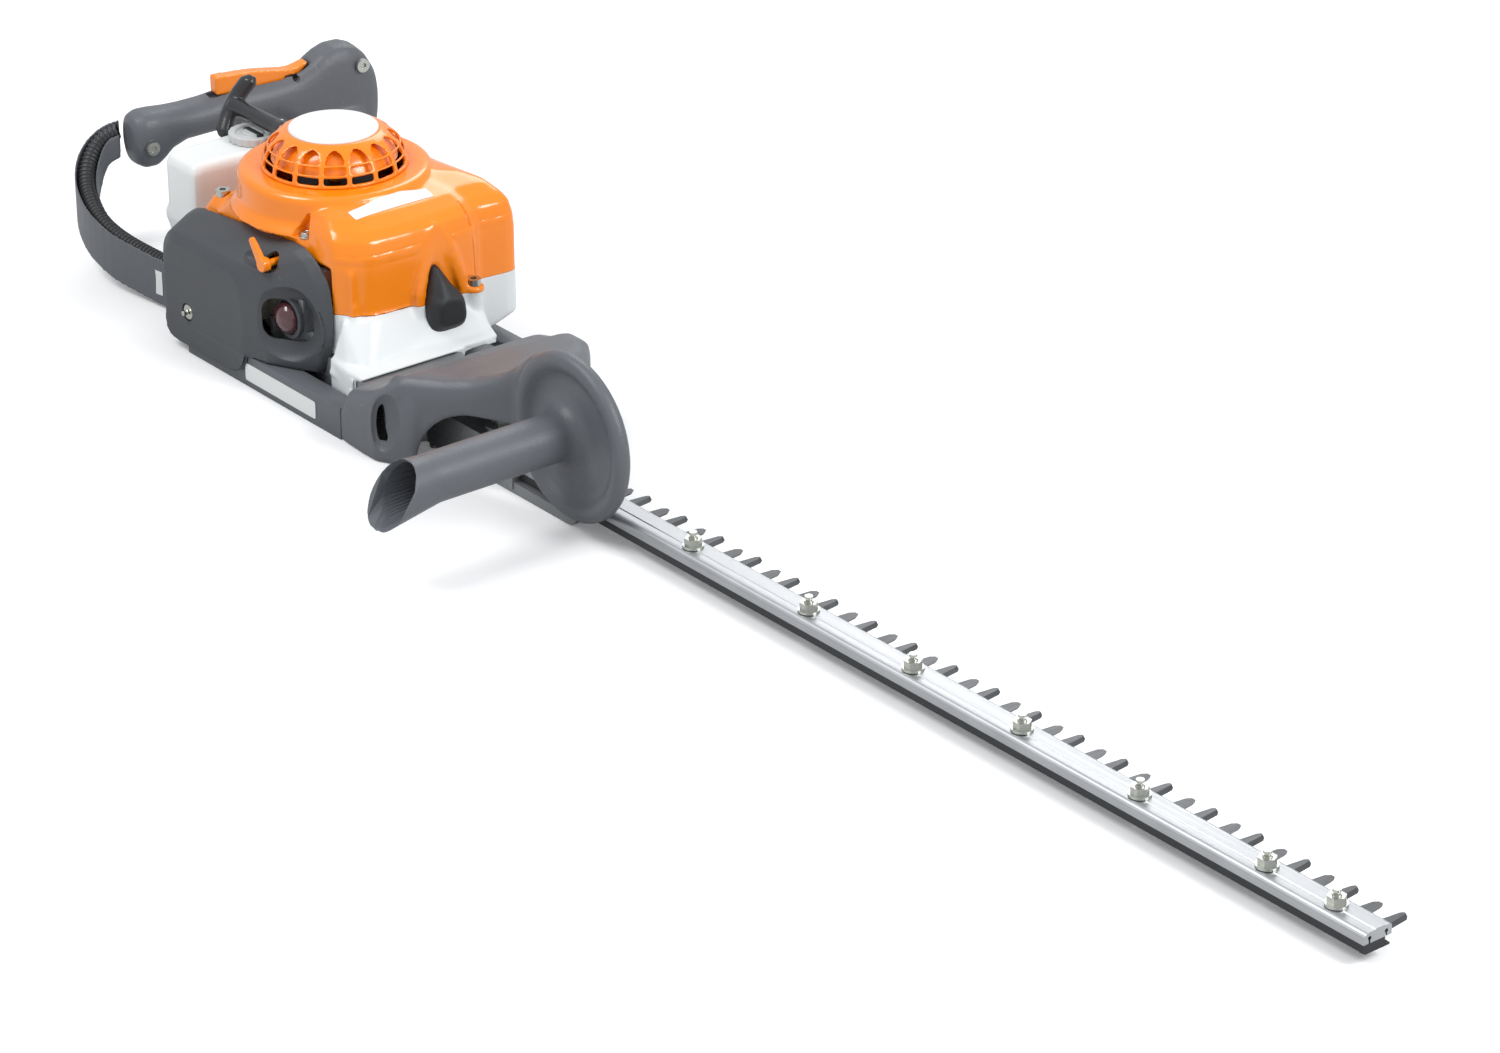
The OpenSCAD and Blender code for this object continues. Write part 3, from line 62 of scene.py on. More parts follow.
def lamp(name, place, target, size, power):
    """A round soft lamp that stands at a place in metres and shines at a target."""
    bpy.ops.object.light_add(type="AREA", location=place)
    light = bpy.context.object
    light.name = name
    light.rotation_euler = (Vector(target) - Vector(place)).to_track_quat("-Z", "Y").to_euler()
    light.data.shape = "DISK"
    light.data.size = size
    light.data.energy = power


power_head = (0.1, 0, 0.05)
lamp("key_lamp", (-0.5, -1.5, 2.6), power_head, 1.3, 38)
lamp("front_lamp", (2.3, 0.7, 1.7), power_head, 1.1, 37)
lamp("back_lamp", (-1.2, 1.7, 1.7), (0, 0, 0.1), 1.2, 12)


class Wire:
    """A socket of a material's nodes that can stand in a sum."""

    def __init__(self, tree, socket):
        self.tree = tree
        self.socket = socket

    def sum(self, operation, first, second):
        node = self.tree.nodes.new("ShaderNodeMath")
        node.operation = operation
        for place, value in zip(node.inputs, (first, second)):
            if isinstance(value, Wire):
                self.tree.links.new(value.socket, place)
            else:
                place.default_value = value
        return Wire(self.tree, node.outputs[0])

    def __add__(self, other):
        return self.sum("ADD", self, other)

    __radd__ = __add__

    def __sub__(self, other):
        return self.sum("SUBTRACT", self, other)

    def __rsub__(self, other):
        return self.sum("SUBTRACT", other, self)

    def __mul__(self, other):
        return self.sum("MULTIPLY", self, other)

    __rmul__ = __mul__

    def over(self, level):
        return self.sum("GREATER_THAN", self, level)


class Finish:
    """A material under construction: node() adds any node, and lay() sets the surface's sockets."""

    def __init__(self, name):
        self.material = bpy.data.materials.new(name)
        self.material.use_nodes = True
        self.tree = self.material.node_tree
        self.surface = self.tree.nodes["Principled BSDF"]
        self.place = self.node("TexCoord", out="Object")

    def node(self, kind, settings=(), out=0, **inputs):
        node = self.tree.nodes.new("ShaderNode" + kind)
        for key, value in dict(settings).items():
            setattr(node, key, value)
        for key, value in inputs.items():
            self.plug(value, node.inputs[int(key[1:]) if key[0] == "_" else key.replace("_", " ")])
        return Wire(self.tree, node.outputs[out])

    def plug(self, value, socket):
        if isinstance(value, Wire):
            self.tree.links.new(value.socket, socket)
        else:
            socket.default_value = value

    def lay(self, **sockets):
        for key, value in sockets.items():
            self.plug(value, self.surface.inputs[key.replace("_", " ")])
        return self.material

    def noise(self, scale, detail=3, vector=None):
        return self.node("TexNoise", Vector=vector or self.place, Scale=scale, Detail=detail)

    def mix(self, factor, first, second):
        return self.node("Mix", {"data_type": "RGBA"}, out=2, _0=factor, _6=first, _7=second)

    def bump(self, height, depth):
        return self.node("Bump", Height=height, Distance=depth, Strength=1.0)


def shade(colour, factor):
    """A colour made darker or lighter by a factor, with full alpha."""
    return tuple(c * factor for c in colour[:3]) + (1,)


# The room lights the trimmer with a cool grey, and the camera sees it as white.
world = bpy.data.worlds.new("room")
bpy.context.scene.world = world
world.use_nodes = True
room = world.node_tree
seen = room.nodes.new("ShaderNodeLightPath")
white = room.nodes.new("ShaderNodeBackground")
white.inputs["Color"].default_value = (1, 1, 1, 1)
dim = room.nodes["Background"]
dim.inputs["Color"].default_value = (0.93, 0.96, 1, 1)
dim.inputs["Strength"].default_value = 0.68
which = room.nodes.new("ShaderNodeMixShader")
room.links.new(seen.outputs["Is Camera Ray"], which.inputs["Fac"])
room.links.new(dim.outputs[0], which.inputs[1])
room.links.new(white.outputs[0], which.inputs[2])
room.links.new(which.outputs[0], room.nodes["World Output"].inputs["Surface"])

bpy.ops.mesh.primitive_plane_add(size=30, location=(0, 0, -0.0003))
floor = bpy.context.object
floor.name = "floor"
pale = Finish("pale_floor")
path = pale.node("LightPath", out="Is Camera Ray")
pale.surface.inputs["Roughness"].default_value = 0.9
pale.surface.inputs["Specular IOR Level"].default_value = 0.1
pale.surface.inputs["Emission Strength"].default_value = 0.12
floor.data.materials.append(pale.lay(
    Base_Color=pale.mix(path, (0.6, 0.6, 0.6, 1), (0.93, 0.93, 0.93, 1)),
    Emission_Color=pale.mix(path, (0, 0, 0, 1), (1, 1, 1, 1))))

# ---------------------------------------------------------------- cutter
# Extruded aluminium guide bar, two hardened steel knives that slide on each other under it, a black
# blunt comb along the back, and zinc-plated bolts, spacers and nuts that hold the stack together.


def machined(name, colour, rough, scale=(900, 30, 900), depth=0.00004, stains=0.12):
    """Bare metal with fine lines along one direction and slight staining."""
    f = Finish(name)
    line = f.node("Mapping", Vector=f.place, Scale=scale)
    lines = f.noise(1, 3, line)
    stain = f.noise(35, 5)
    f.surface.inputs["Metallic"].default_value = 1
    return f.lay(
        Base_Color=f.mix(stain, shade(colour, 0.82), shade(colour, 1.08)),
        Roughness=rough + 0.22 * (lines - 0.5) + stains * (stain - 0.5),
        Normal=f.bump(lines, depth))


def moulded(name, colour, rough, grain=2600, depth=0.00006, coat=0.0, marks=0.10):
    """Injection-moulded plastic with a fine grain, soft cloudiness and handling marks."""
    f = Finish(name)
    cloud = f.noise(9, 4)
    fine = f.noise(grain, 2)
    rubs = f.noise(60, 5)
    f.surface.inputs["Coat Roughness"].default_value = 0.12
    f.surface.inputs["Coat Weight"].default_value = coat
    return f.lay(
        Base_Color=f.mix(cloud, shade(colour, 0.93), shade(colour, 1.06)),
        Roughness=rough + marks * (rubs - 0.5) + 0.05 * (fine - 0.5),
        Normal=f.bump(fine, depth))


def dress(material, *names):
    """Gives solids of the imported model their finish."""
    for name in names:
        mesh = nodes[name].data
        mesh.materials.clear()
        mesh.materials.append(material)


bar_metal = machined("bar_metal", (0.53, 0.54, 0.55), 0.42, (4, 1300, 1300))
knife_metal = machined("knife_metal", (0.105, 0.108, 0.112), 0.36, (900, 12, 900))
zinc = machined("zinc_plate", (0.60, 0.61, 0.56), 0.30, (300, 300, 300))
comb_black = moulded("comb_black", (0.018, 0.019, 0.022), 0.45)
dress(bar_metal, "guide_bar")
dress(knife_metal, "upper_knife", "lower_knife")
dress(comb_black, "knife_guard")
dress(zinc, "bar_bolts", "bar_spacers", "bar_nuts")

# ---------------------------------------------------------------- gearbox and engine
# Die-cast aluminium cases with a sand-like skin, screwed together round steel gears, with the clutch,
# the flywheel and the finned cylinder above them. The spark plug has a ceramic neck, the starter's
# rope is braided nylon, and the air filter is pleated paper in a moulded rim.


def cast(name, colour, rough):
    """Die-cast aluminium with a sand-like skin and faint stains."""
    f = Finish(name)
    skin = f.noise(900, 4)
    stain = f.noise(25, 4)
    f.surface.inputs["Metallic"].default_value = 0.85
    return f.lay(
        Base_Color=f.mix(stain, shade(colour, 0.8), shade(colour, 1.1)),
        Roughness=rough + 0.15 * (skin - 0.5),
        Normal=f.bump(skin, 0.00025))


casting = cast("casting", (0.36, 0.37, 0.38), 0.48)
gear_metal = machined("gear_metal", (0.40, 0.40, 0.40), 0.35)
dark_steel = machined("dark_steel", (0.10, 0.10, 0.105), 0.45)
scorched = machined("scorched_sheet", (0.28, 0.24, 0.21), 0.5, (60, 60, 60), stains=0.3)
coil_black = moulded("coil_black", (0.020, 0.020, 0.024), 0.35)
dress(casting, "gearcase", "gearcase_cover", "clutch_housing", "crankcase", "cylinder_block",
      "carburettor")
dress(gear_metal, "crank_gear", "eccentric_shaft", "crank_bearing", "idler_gear", "idler_pin", "pinion",
      "drum_bearing", "clutch_drum", "crankshaft", "clutch_shoes")
dress(dark_steel, "flywheel")
dress(scorched, "muffler")
dress(coil_black, "ignition_coil", "rope_rotor")
dress(zinc, "gearcase_screws", "shroud_screws", "handle_screws")
ceramic = moulded("ceramic", (0.80, 0.79, 0.75), 0.18)
cord_white = moulded("cord_white", (0.62, 0.62, 0.60), 0.7, grain=700, depth=0.0003)
dress(ceramic, "spark_plug")
dress(cord_white, "starter_rope")
paper = moulded("filter_paper", (0.56, 0.52, 0.42), 0.85, grain=500, depth=0.0003)
dress(paper, "air_filter")

# ---------------------------------------------------------------- power head shells
# Two injection mouldings, white below and orange above, screwed together in one flush outline. Both
# are cut from one form, so that their surfaces run on over the joint, and then get their wall.
split = 69.0 * mm
wall = 2.2 * mm
boss_x, boss_y = -68, -48
scoop_x, scoop_y = 43, -54


def apply(piece, kind, **settings):
    """Puts one modifier on the piece, sets it and applies it."""
    change = piece.modifiers.new(kind.lower(), kind)
    for key, value in settings.items():
        setattr(change, key, value)
    bpy.ops.object.select_all(action="DESELECT")
    piece.select_set(True)
    bpy.context.view_layer.objects.active = piece
    bpy.ops.object.modifier_apply(modifier=change.name)
    return piece


def settle(piece, name, material, body="frame"):
    """Names a finished piece, bakes its place into its mesh, gives it its finish and lets it ride."""
    bpy.ops.object.select_all(action="DESELECT")
    piece.select_set(True)
    bpy.context.view_layer.objects.active = piece
    bpy.ops.object.transform_apply(location=True, rotation=True, scale=True)
    piece.name = name
    piece.data.materials.clear()
    piece.data.materials.append(material)
    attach(piece, body)
    bpy.ops.object.select_all(action="DESELECT")


def weld(name, *parts):
    """Copies of solids as one mesh under its own name, with its doubles merged."""
    bpy.ops.object.select_all(action="DESELECT")
    for part in parts:
        copy = bpy.data.objects.new(name, nodes[part].data.copy())
        bpy.context.collection.objects.link(copy)
        copy.select_set(True)
        bpy.context.view_layer.objects.active = copy
    if len(parts) > 1:
        bpy.ops.object.join()
    piece = bpy.context.object
    bpy.ops.object.mode_set(mode="EDIT")
    bpy.ops.mesh.select_all(action="SELECT")
    bpy.ops.mesh.remove_doubles(threshold=0.00001)
    bpy.ops.object.mode_set(mode="OBJECT")
    return piece


def bar(low, high, round_by=0.0):
    """A block between two corners in millimetres, with its edges rounded."""
    bpy.ops.object.select_all(action="DESELECT")
    low, high = Vector(low) * mm, Vector(high) * mm
    bpy.ops.mesh.primitive_cube_add(size=1, location=(low + high) / 2, scale=high - low)
    piece = bpy.context.object
    bpy.ops.object.transform_apply(location=True, rotation=True, scale=True)
    if round_by:
        apply(piece, "BEVEL", width=round_by * mm, segments=4)
    return piece


def rod(place, radius, depth, axis=(0, 0, 1), sides=48, end=None):
    """A cylinder or cone that starts at a place in millimetres and runs along an axis."""
    bpy.ops.object.select_all(action="DESELECT")
    axis = Vector(axis).normalized()
    middle = (Vector(place) + axis * depth / 2) * mm
    bpy.ops.mesh.primitive_cone_add(vertices=sides, depth=depth * mm, location=middle,
                                    radius1=radius * mm, radius2=(radius if end is None else end) * mm,
                                    rotation=axis.to_track_quat("Z", "Y").to_euler())
    piece = bpy.context.object
    bpy.ops.object.transform_apply(location=True, rotation=True, scale=True)
    return piece


def plate(outline, depth, seat):
    """A flat outline in millimetres, drawn out along Z and laid with the matrix seat."""
    bpy.ops.object.select_all(action="DESELECT")
    bpy.ops.mesh.primitive_circle_add(vertices=len(outline), radius=1, fill_type="NGON")
    piece = bpy.context.object
    for vertex, (x, y) in zip(piece.data.vertices, outline):
        vertex.co = (x * mm, y * mm, 0)
    bpy.ops.object.mode_set(mode="EDIT")
    bpy.ops.mesh.select_all(action="SELECT")
    bpy.ops.mesh.extrude_region_move(TRANSFORM_OT_translate={"value": (0, 0, depth * mm)})
    bpy.ops.mesh.select_all(action="SELECT")
    bpy.ops.mesh.normals_make_consistent(inside=False)
    bpy.ops.object.mode_set(mode="OBJECT")
    piece.data.transform(seat)
    return piece


def add(piece, *others):
    """Joins other pieces to this one."""
    bpy.ops.object.select_all(action="DESELECT")
    for other in others:
        other.select_set(True)
    piece.select_set(True)
    bpy.context.view_layer.objects.active = piece
    bpy.ops.object.join()
    return piece


def cut(piece, *tools):
    """Takes tools out of the piece."""
    for tool in tools:
        apply(piece, "BOOLEAN", operation="DIFFERENCE", solver="EXACT", object=tool)
        bpy.data.objects.remove(tool)
    return piece


def blow(piece, grid, rounds):
    """Makes one closed skin of overlapping solids on a fine grid and softens its edges."""
    apply(piece, "REMESH", mode="VOXEL", voxel_size=grid * mm, use_smooth_shade=True)
    apply(piece, "SMOOTH", factor=0.5, iterations=rounds)
    return piece


def shave(piece, doomed):
    """Deletes the faces for which doomed(middle, normal) is true, with places in millimetres."""
    bpy.ops.object.select_all(action="DESELECT")
    piece.select_set(True)
    bpy.context.view_layer.objects.active = piece
    for polygon in piece.data.polygons:
        polygon.select = doomed(polygon.center / mm, polygon.normal)
    bpy.ops.object.mode_set(mode="EDIT")
    bpy.ops.mesh.select_mode(type="FACE")
    bpy.ops.mesh.delete(type="FACE")
    bpy.ops.object.mode_set(mode="OBJECT")
    return piece


def slice_off(piece, place, normal):
    """Cuts the piece along a plane and leaves it open, without what lies on the normal's side."""
    bpy.ops.object.select_all(action="DESELECT")
    piece.select_set(True)
    bpy.context.view_layer.objects.active = piece
    bpy.ops.object.mode_set(mode="EDIT")
    bpy.ops.mesh.select_all(action="SELECT")
    bpy.ops.mesh.bisect(plane_co=place, plane_no=normal, clear_outer=True, clear_inner=False)
    bpy.ops.object.mode_set(mode="OBJECT")
    return piece


def hulled(*points):
    """The convex solid round points in millimetres."""
    bpy.ops.object.select_all(action="DESELECT")
    bpy.ops.mesh.primitive_circle_add(vertices=len(points), radius=1)
    piece = bpy.context.object
    for vertex, point in zip(piece.data.vertices, points):
        vertex.co = Vector(point) * mm
    bpy.ops.object.mode_set(mode="EDIT")
    bpy.ops.mesh.select_all(action="SELECT")
    bpy.ops.mesh.convex_hull()
    bpy.ops.object.mode_set(mode="OBJECT")
    return piece


# lays an outline of (y, z) upright, so that it is drawn out along X
upright = Matrix(((0, 0, 1, 0), (1, 0, 0, 0), (0, 1, 0, 0), (0, 0, 0, 1)))
skin = weld("power_skin", "shroud", "engine_housing")
# sloped shoulder round the dome, cut flat behind the filter cover
shoulder = cut(rod((0, 0, 98), 84, 24, end=66), bar((-120, -100, 60), (120, -59.6, 112)))
# cores that fill the hollow solids, so that the skin has no inside, and the rear screw's boss
add(skin, shoulder, rod((0, 0, 96), 62, 43.6), bar((-44, -52, 74), (91, 78, 100)),
    bar((-44, -52, 24), (92, 56, 76)), rod((boss_x, boss_y, 99), 7.5, 7))
# skirt from the front wall down to the gearbox's nose
add(skin, hulled((86, -57, 66), (99, -44, 68), (101, -36, 68), (102, 44, 68), (88, 46, 68),
                 (84, -68.5, 30), (108, -68.5, 30), (122, -62, 32), (125, 44, 36), (84, 46, 30)))
# cowl that runs up to a point above the plug boot, with a hollow in it, and leans back above 84 mm
cowl_bend, cowl_lean = 84 * mm, 0.25
arch = [(-7, 60), (-8, 78), (2, 104), (10, 120), (14, 123), (18, 120), (28, 104), (36, 78), (35, 60)]
cowl = plate(arch, 106, upright)
for vertex in cowl.data.vertices:
    if vertex.co.x > 0.05:
        vertex.co.x -= max(0, vertex.co.z - cowl_bend) * cowl_lean
hollow = plate([(14 + 0.68 * (y - 14), 52 + 0.86 * (z - 56)) for y, z in arch], 40, upright)
for vertex in hollow.data.vertices:
    vertex.co.x += 99 * mm - max(0, vertex.co.z - cowl_bend) * cowl_lean
add(skin, cut(cowl, hollow))
blow(skin, 1.5, 7)
# scoop over the near screw, and round wells over the rear, the front and the far one
scoop = hulled(*((x, y, z) for z in (112.8, 117) for x in (scoop_x - 6, scoop_x + 6) for y in (-76, -49)),
               (scoop_x - 2, -60, 128), (scoop_x + 2, -60, 128), (scoop_x, -46, 129.5))
cut(skin, scoop, rod((boss_x, boss_y, 106), 6, 20), rod((104, 40, 73), 5.6, 9),
    rod((-40, 62, 100), 6, 30))


def groove(piece, start, end, sight, radius=0.9, steps=14):
    """Cuts a shallow line into the piece between two places in millimetres, seen along sight."""
    line = []
    for i in range(steps + 1):
        place = Vector(start).lerp(Vector(end), i / steps) * mm
        found, hit, _, _ = piece.ray_cast(place - Vector(sight) * 60 * mm, Vector(sight))
        if found:
            line.append(hit)
    bpy.ops.curve.primitive_nurbs_path_add(location=(0, 0, 0))
    path = bpy.context.object
    path.data.splines.clear()
    spline = path.data.splines.new("POLY")
    spline.points.add(len(line) - 1)
    for point, place in zip(spline.points, line):
        point.co = (*place, 1)
    path.data.bevel_depth = radius * mm
    path.data.use_fill_caps = True
    bpy.ops.object.select_all(action="DESELECT")
    path.select_set(True)
    bpy.context.view_layer.objects.active = path
    bpy.ops.object.convert(target="MESH")
    return cut(piece, bpy.context.object)


# panel line down the far end of the front wall
groove(skin, (100, 42.5, 127), (100, 47, 72), (-1, 0, 0))
apply(skin, "SMOOTH", factor=0.4, iterations=2)
# the halves are cut apart with a hair's gap between them. The shroud is open under the dome, and the
# housing along its foot
joint = 0.15 * mm
white_half = skin.copy()
white_half.data = skin.data.copy()
bpy.context.collection.objects.link(white_half)
slice_off(skin, (0, 0, split + joint), (0, 0, -1))
shave(skin, lambda p, n: math.hypot(p.x, p.y) < 48.8 and p.z > 134)
apply(skin, "SOLIDIFY", thickness=wall, offset=-1)
slice_off(white_half, (0, 0, split - joint), (0, 0, 1))
shave(white_half, lambda p, n: n.z < -0.6 and p.z < 40)
apply(white_half, "SOLIDIFY", thickness=wall, offset=-1)
orange = moulded("orange_gloss", (1.0, 0.255, 0.001), 0.24, depth=0.00001, coat=0.5, marks=0.06)
white_shell = moulded("white_shell", (0.77, 0.80, 0.80), 0.36, grain=1800)
settle(skin, "orange_shroud", orange)
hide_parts("shroud")
settle(white_half, "white_housing", white_shell)
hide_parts("engine_housing")

# socket screw in the scoop, on its washer
scoop_screw = add(rod((scoop_x, scoop_y, 112.9), 5.2, 1),
                  rod((scoop_x, scoop_y, 113.9), 4.3, 2.6, end=3.3))
cut(scoop_screw, rod((scoop_x, scoop_y, 115), 2.0, 4, sides=6))
apply(scoop_screw, "BEVEL", width=0.3 * mm, segments=2, limit_method="ANGLE")
settle(scoop_screw, "scoop_screw", zinc)

# ---------------------------------------------------------------- starter dome
# Orange moulding screwed over the recoil starter. Bays with round tops let the cooling air in
# between the ribs, two thin rings cross them, and a blank white disc is glued on the seat on top.
bay_count = 16
dome_low, dome_high = (v * 1000 for v in (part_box("shroud")[1].z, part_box("starter_dome")[1].z))
dome_profile = [(51, 0), (50.6, 3), (49.4, 8), (47, 13), (43.4, 18), (38.5, 22), (34, 24.4), (31.8, 25)]


def turned(outline):
    """A ring that an outline of (radius, height above the shroud) sweeps about the crank axis."""
    bpy.ops.mesh.primitive_circle_add(vertices=len(outline), radius=1)
    piece = bpy.context.object
    for vertex, (r, z) in zip(piece.data.vertices, outline):
        vertex.co = (r * mm, 0, (dome_low + z) * mm)
    bpy.ops.object.mode_set(mode="EDIT")
    bpy.ops.mesh.select_all(action="SELECT")
    bpy.ops.mesh.spin(steps=128, angle=2 * math.pi, center=(0, 0, 0), axis=(0, 0, 1))
    bpy.ops.mesh.select_all(action="SELECT")
    bpy.ops.mesh.remove_doubles(threshold=0.00002)
    bpy.ops.mesh.normals_make_consistent(inside=False)
    bpy.ops.object.mode_set(mode="OBJECT")
    return piece


dome = turned(dome_profile + [(r - 2.6, z - (1.2 if z > 20 else 0)) for r, z in dome_profile[::-1]])
# one bay as seen from the side, with a round top, and its copies round the dome
bay = [(-8.1, 2.2), (8.1, 2.2), (7.6, 12), (6.9, 15.5)]
bay += [(6.2 * math.cos(a), 16 + 6.4 * math.sin(a))
        for a in (0.35, 0.75, 1.15, math.pi / 2, 1.99, 2.39, 2.79)]
bay += [(-6.9, 15.5), (-7.6, 12)]
bays = []
for i in range(bay_count):
    turn = Matrix.Rotation(2 * math.pi * (i + 0.5) / bay_count, 4, "Z")
    seat = turn @ Matrix.Translation((20 * mm, 0, 0)) @ upright
    bays.append(plate([(y, z + dome_low) for y, z in bay], 40, seat))
cut(dome, add(bays[0], *bays[1:]))
for z, r in ((8.2, 48.2), (14.4, 45.2)):
    bpy.ops.mesh.primitive_torus_add(major_segments=128, minor_segments=8, major_radius=r * mm,
                                     minor_radius=0.95 * mm, location=(0, 0, (dome_low + z) * mm))
    add(dome, bpy.context.object)
# post on the crank axis and the disc's seat
add(dome, rod((0, 0, dome_high - 44.4), 5, 42.4), rod((0, 0, dome_high - 2.6), 33, 2.5, sides=96))
blow(dome, 0.75, 3)
apply(dome, "DECIMATE", ratio=0.45)
# baffle behind the bays, open along its foot
baffle = [(43.4, 5), (40.5, 12), (36.5, 17), (30, 22.2), (28.6, 21), (35, 16), (38.9, 11.4), (41.8, 5)]
add(dome, turned(baffle))
bpy.ops.object.shade_smooth_by_angle(angle=math.radians(50))
settle(dome, "slotted_dome", orange)
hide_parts("starter_dome")
disc_white = moulded("disc_white", (0.82, 0.83, 0.83), 0.28, depth=0.00001, coat=0.3)
dress(disc_white, "cap_disc")

# ---------------------------------------------------------------- plug boot
# Black rubber wedge, pressed over the spark plug. It stands out of the hollow under the shroud's
# pointed cowl. The round buffers between the frame's rails and the power head are of the same rubber.
rubber = moulded("rubber", (0.020, 0.021, 0.023), 0.55, grain=900, depth=0.00012)
boot = blow(weld("boot_form", "plug_boot"), 0.8, 22)
apply(boot, "DISPLACE", strength=1.6 * mm, mid_level=0)
settle(boot, "soft_plug_boot", rubber)
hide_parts("plug_boot")
dress(rubber, "buffers")

# ---------------------------------------------------------------- filter cover
# Black glass-filled nylon with a sand-blasted skin. A dished window shows the primer bulb, a hollow
# leaves room for the choke lever, and one screw at the rear holds the cover on.
window_x, window_y, window_z = 46 * mm, -75 * mm, 57 * mm
window_slant = 34
window_u, window_v, window_corner = 8.5, 4.5, 10.5
lever_x, lever_z, lever_hole = 30.5, 95.5, 6.6
screw_x, screw_z = -58, 32


def ball(place, radii, turn=(0, 0, 0)):
    """An ellipsoid at a place in millimetres, turned by degrees."""
    bpy.ops.object.select_all(action="DESELECT")
    bpy.ops.mesh.primitive_uv_sphere_add(segments=40, ring_count=20, radius=1,
                                         location=Vector(place) * mm, scale=Vector(radii) * mm,
                                         rotation=[math.radians(a) for a in turn])
    piece = bpy.context.object
    bpy.ops.object.transform_apply(location=True, rotation=True, scale=True)
    return piece


def sanded(name, colour, rough, grain=1100, depth=0.00022):
    """Nylon moulded in a sand-blasted tool: a coarse grain that catches the light, paler where rubbed."""
    f = Finish(name)
    cloud = f.noise(7, 4)
    grit = f.noise(grain, 3)
    rubs = f.noise(45, 6)
    scratch = f.node("Mapping", Vector=f.place, Scale=(30, 700, 90))
    scratches = f.noise(1, 5, scratch)
    tone = f.mix(cloud, shade(colour, 0.88), shade(colour, 1.12))
    return f.lay(
        Base_Color=f.mix(scratches.over(0.72), tone, shade(colour, 1.5)),
        Roughness=rough + 0.14 * (rubs - 0.5) + 0.10 * (grit - 0.5),
        Normal=f.bump(grit, depth))


cover_black = sanded("cover_black", (0.062, 0.067, 0.074), 0.44)
cover = weld("cover_form", "filter_cover")
bpy.ops.object.mode_set(mode="EDIT")
bpy.ops.mesh.select_all(action="SELECT")
bpy.ops.mesh.convex_hull()
bpy.ops.object.mode_set(mode="OBJECT")
# room for the near rail
cut(cover, bar((-102, -86.2, -1), (132, -57, 23.4)))
blow(cover, 1.0, 8)
# dish round the window, and hollow round the lever
cut(cover, ball((48.8, -79.2, 57), (32, 10, 28), (0, 0, window_slant)),
    bar((3, -100, 90), (59, -74.5, 105), round_by=5))
apply(cover, "SMOOTH", factor=0.5, iterations=3)
apply(cover, "DECIMATE", ratio=0.6)
window_turn = Matrix.Translation((window_x, window_y, window_z))
window_turn = window_turn @ Matrix.Rotation(math.radians(window_slant), 4, "Z")
corner = [(window_corner * math.cos(a * math.pi / 16), window_corner * math.sin(a * math.pi / 16))
          for a in range(9)]
window = [(window_u + u, window_v + v) for u, v in corner]
window += [(-window_u - u, window_v + v) for u, v in corner[::-1]]
window += [(-window_u - u, -window_v - v) for u, v in corner]
window += [(window_u + u, -window_v - v) for u, v in corner[::-1]]
through = window_turn @ Matrix.Rotation(math.pi / 2, 4, "X") @ Matrix.Translation((0, 0, -10 * mm))
cut(cover, plate(window, 40, through), rod((lever_x, -95, lever_z), lever_hole, 25, (0, 1, 0)),
    rod((screw_x, -92, screw_z), 6.6, 5.3, (0, 1, 0)))


def open_face(p, n):
    """The cover's open back, and the walls that the window and the lever's hole left in the solid."""
    u, _, v = window_turn.inverted() @ (p * mm) / mm
    in_window = math.hypot(max(abs(u) - window_u, 0), max(abs(v) - window_v, 0)) < window_corner + 0.05
    in_lever_hole = math.hypot(p.x - lever_x, p.z - lever_z) < lever_hole + 0.05
    return (n.y > 0.7 and p.y > -62) or in_window or in_lever_hole


shave(cover, open_face)
apply(cover, "SOLIDIFY", thickness=2.4 * mm, offset=-1)
bpy.ops.object.shade_smooth_by_angle(angle=math.radians(40))
settle(cover, "black_cover", cover_black)
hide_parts("filter_cover")

screw = add(rod((screw_x, -86.7, screw_z), 5.4, 0.9, (0, -1, 0)),
            rod((screw_x, -87.3, screw_z), 4.4, 2.4, (0, -1, 0), end=3.4))
cut(screw, rod((screw_x, -92, screw_z), 2.0, 4, (0, 1, 0), sides=6))
apply(screw, "BEVEL", width=0.3 * mm, segments=2, limit_method="ANGLE")
settle(screw, "cover_screw", zinc)

# ---------------------------------------------------------------- choke lever and primer bulb
# Orange nylon lever on its spindle. The bulb is of clear, dark red rubber, and a black ring clamps
# its rim on the pump below the carburettor.
bulb_x, bulb_z = 43, 58
choke = blow(weld("choke_form", "choke_lever"), 0.5, 4)
settle(choke, "choke_handle", orange, "choke")
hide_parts("choke_lever")
bulb_red = moulded("bulb_red", (0.075, 0.018, 0.024), 0.06, depth=0.00001, coat=1.0, marks=0.03)
bulb = cut(ball((bulb_x, -72, bulb_z), (11.2, 8, 11.2)), bar((20, -72, 40), (60, -50, 80)))
settle(bulb, "glassy_bulb", bulb_red, "bulb")
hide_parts("purge_bulb")
ring = rod((bulb_x, -68.1, bulb_z), 15, 4, (0, -1, 0))
cut(ring, rod((bulb_x, -66, bulb_z), 11.9, 8, (0, -1, 0)))
apply(ring, "BEVEL", width=0.6 * mm, segments=2, limit_method="ANGLE")
settle(ring, "bulb_ring", cover_black)

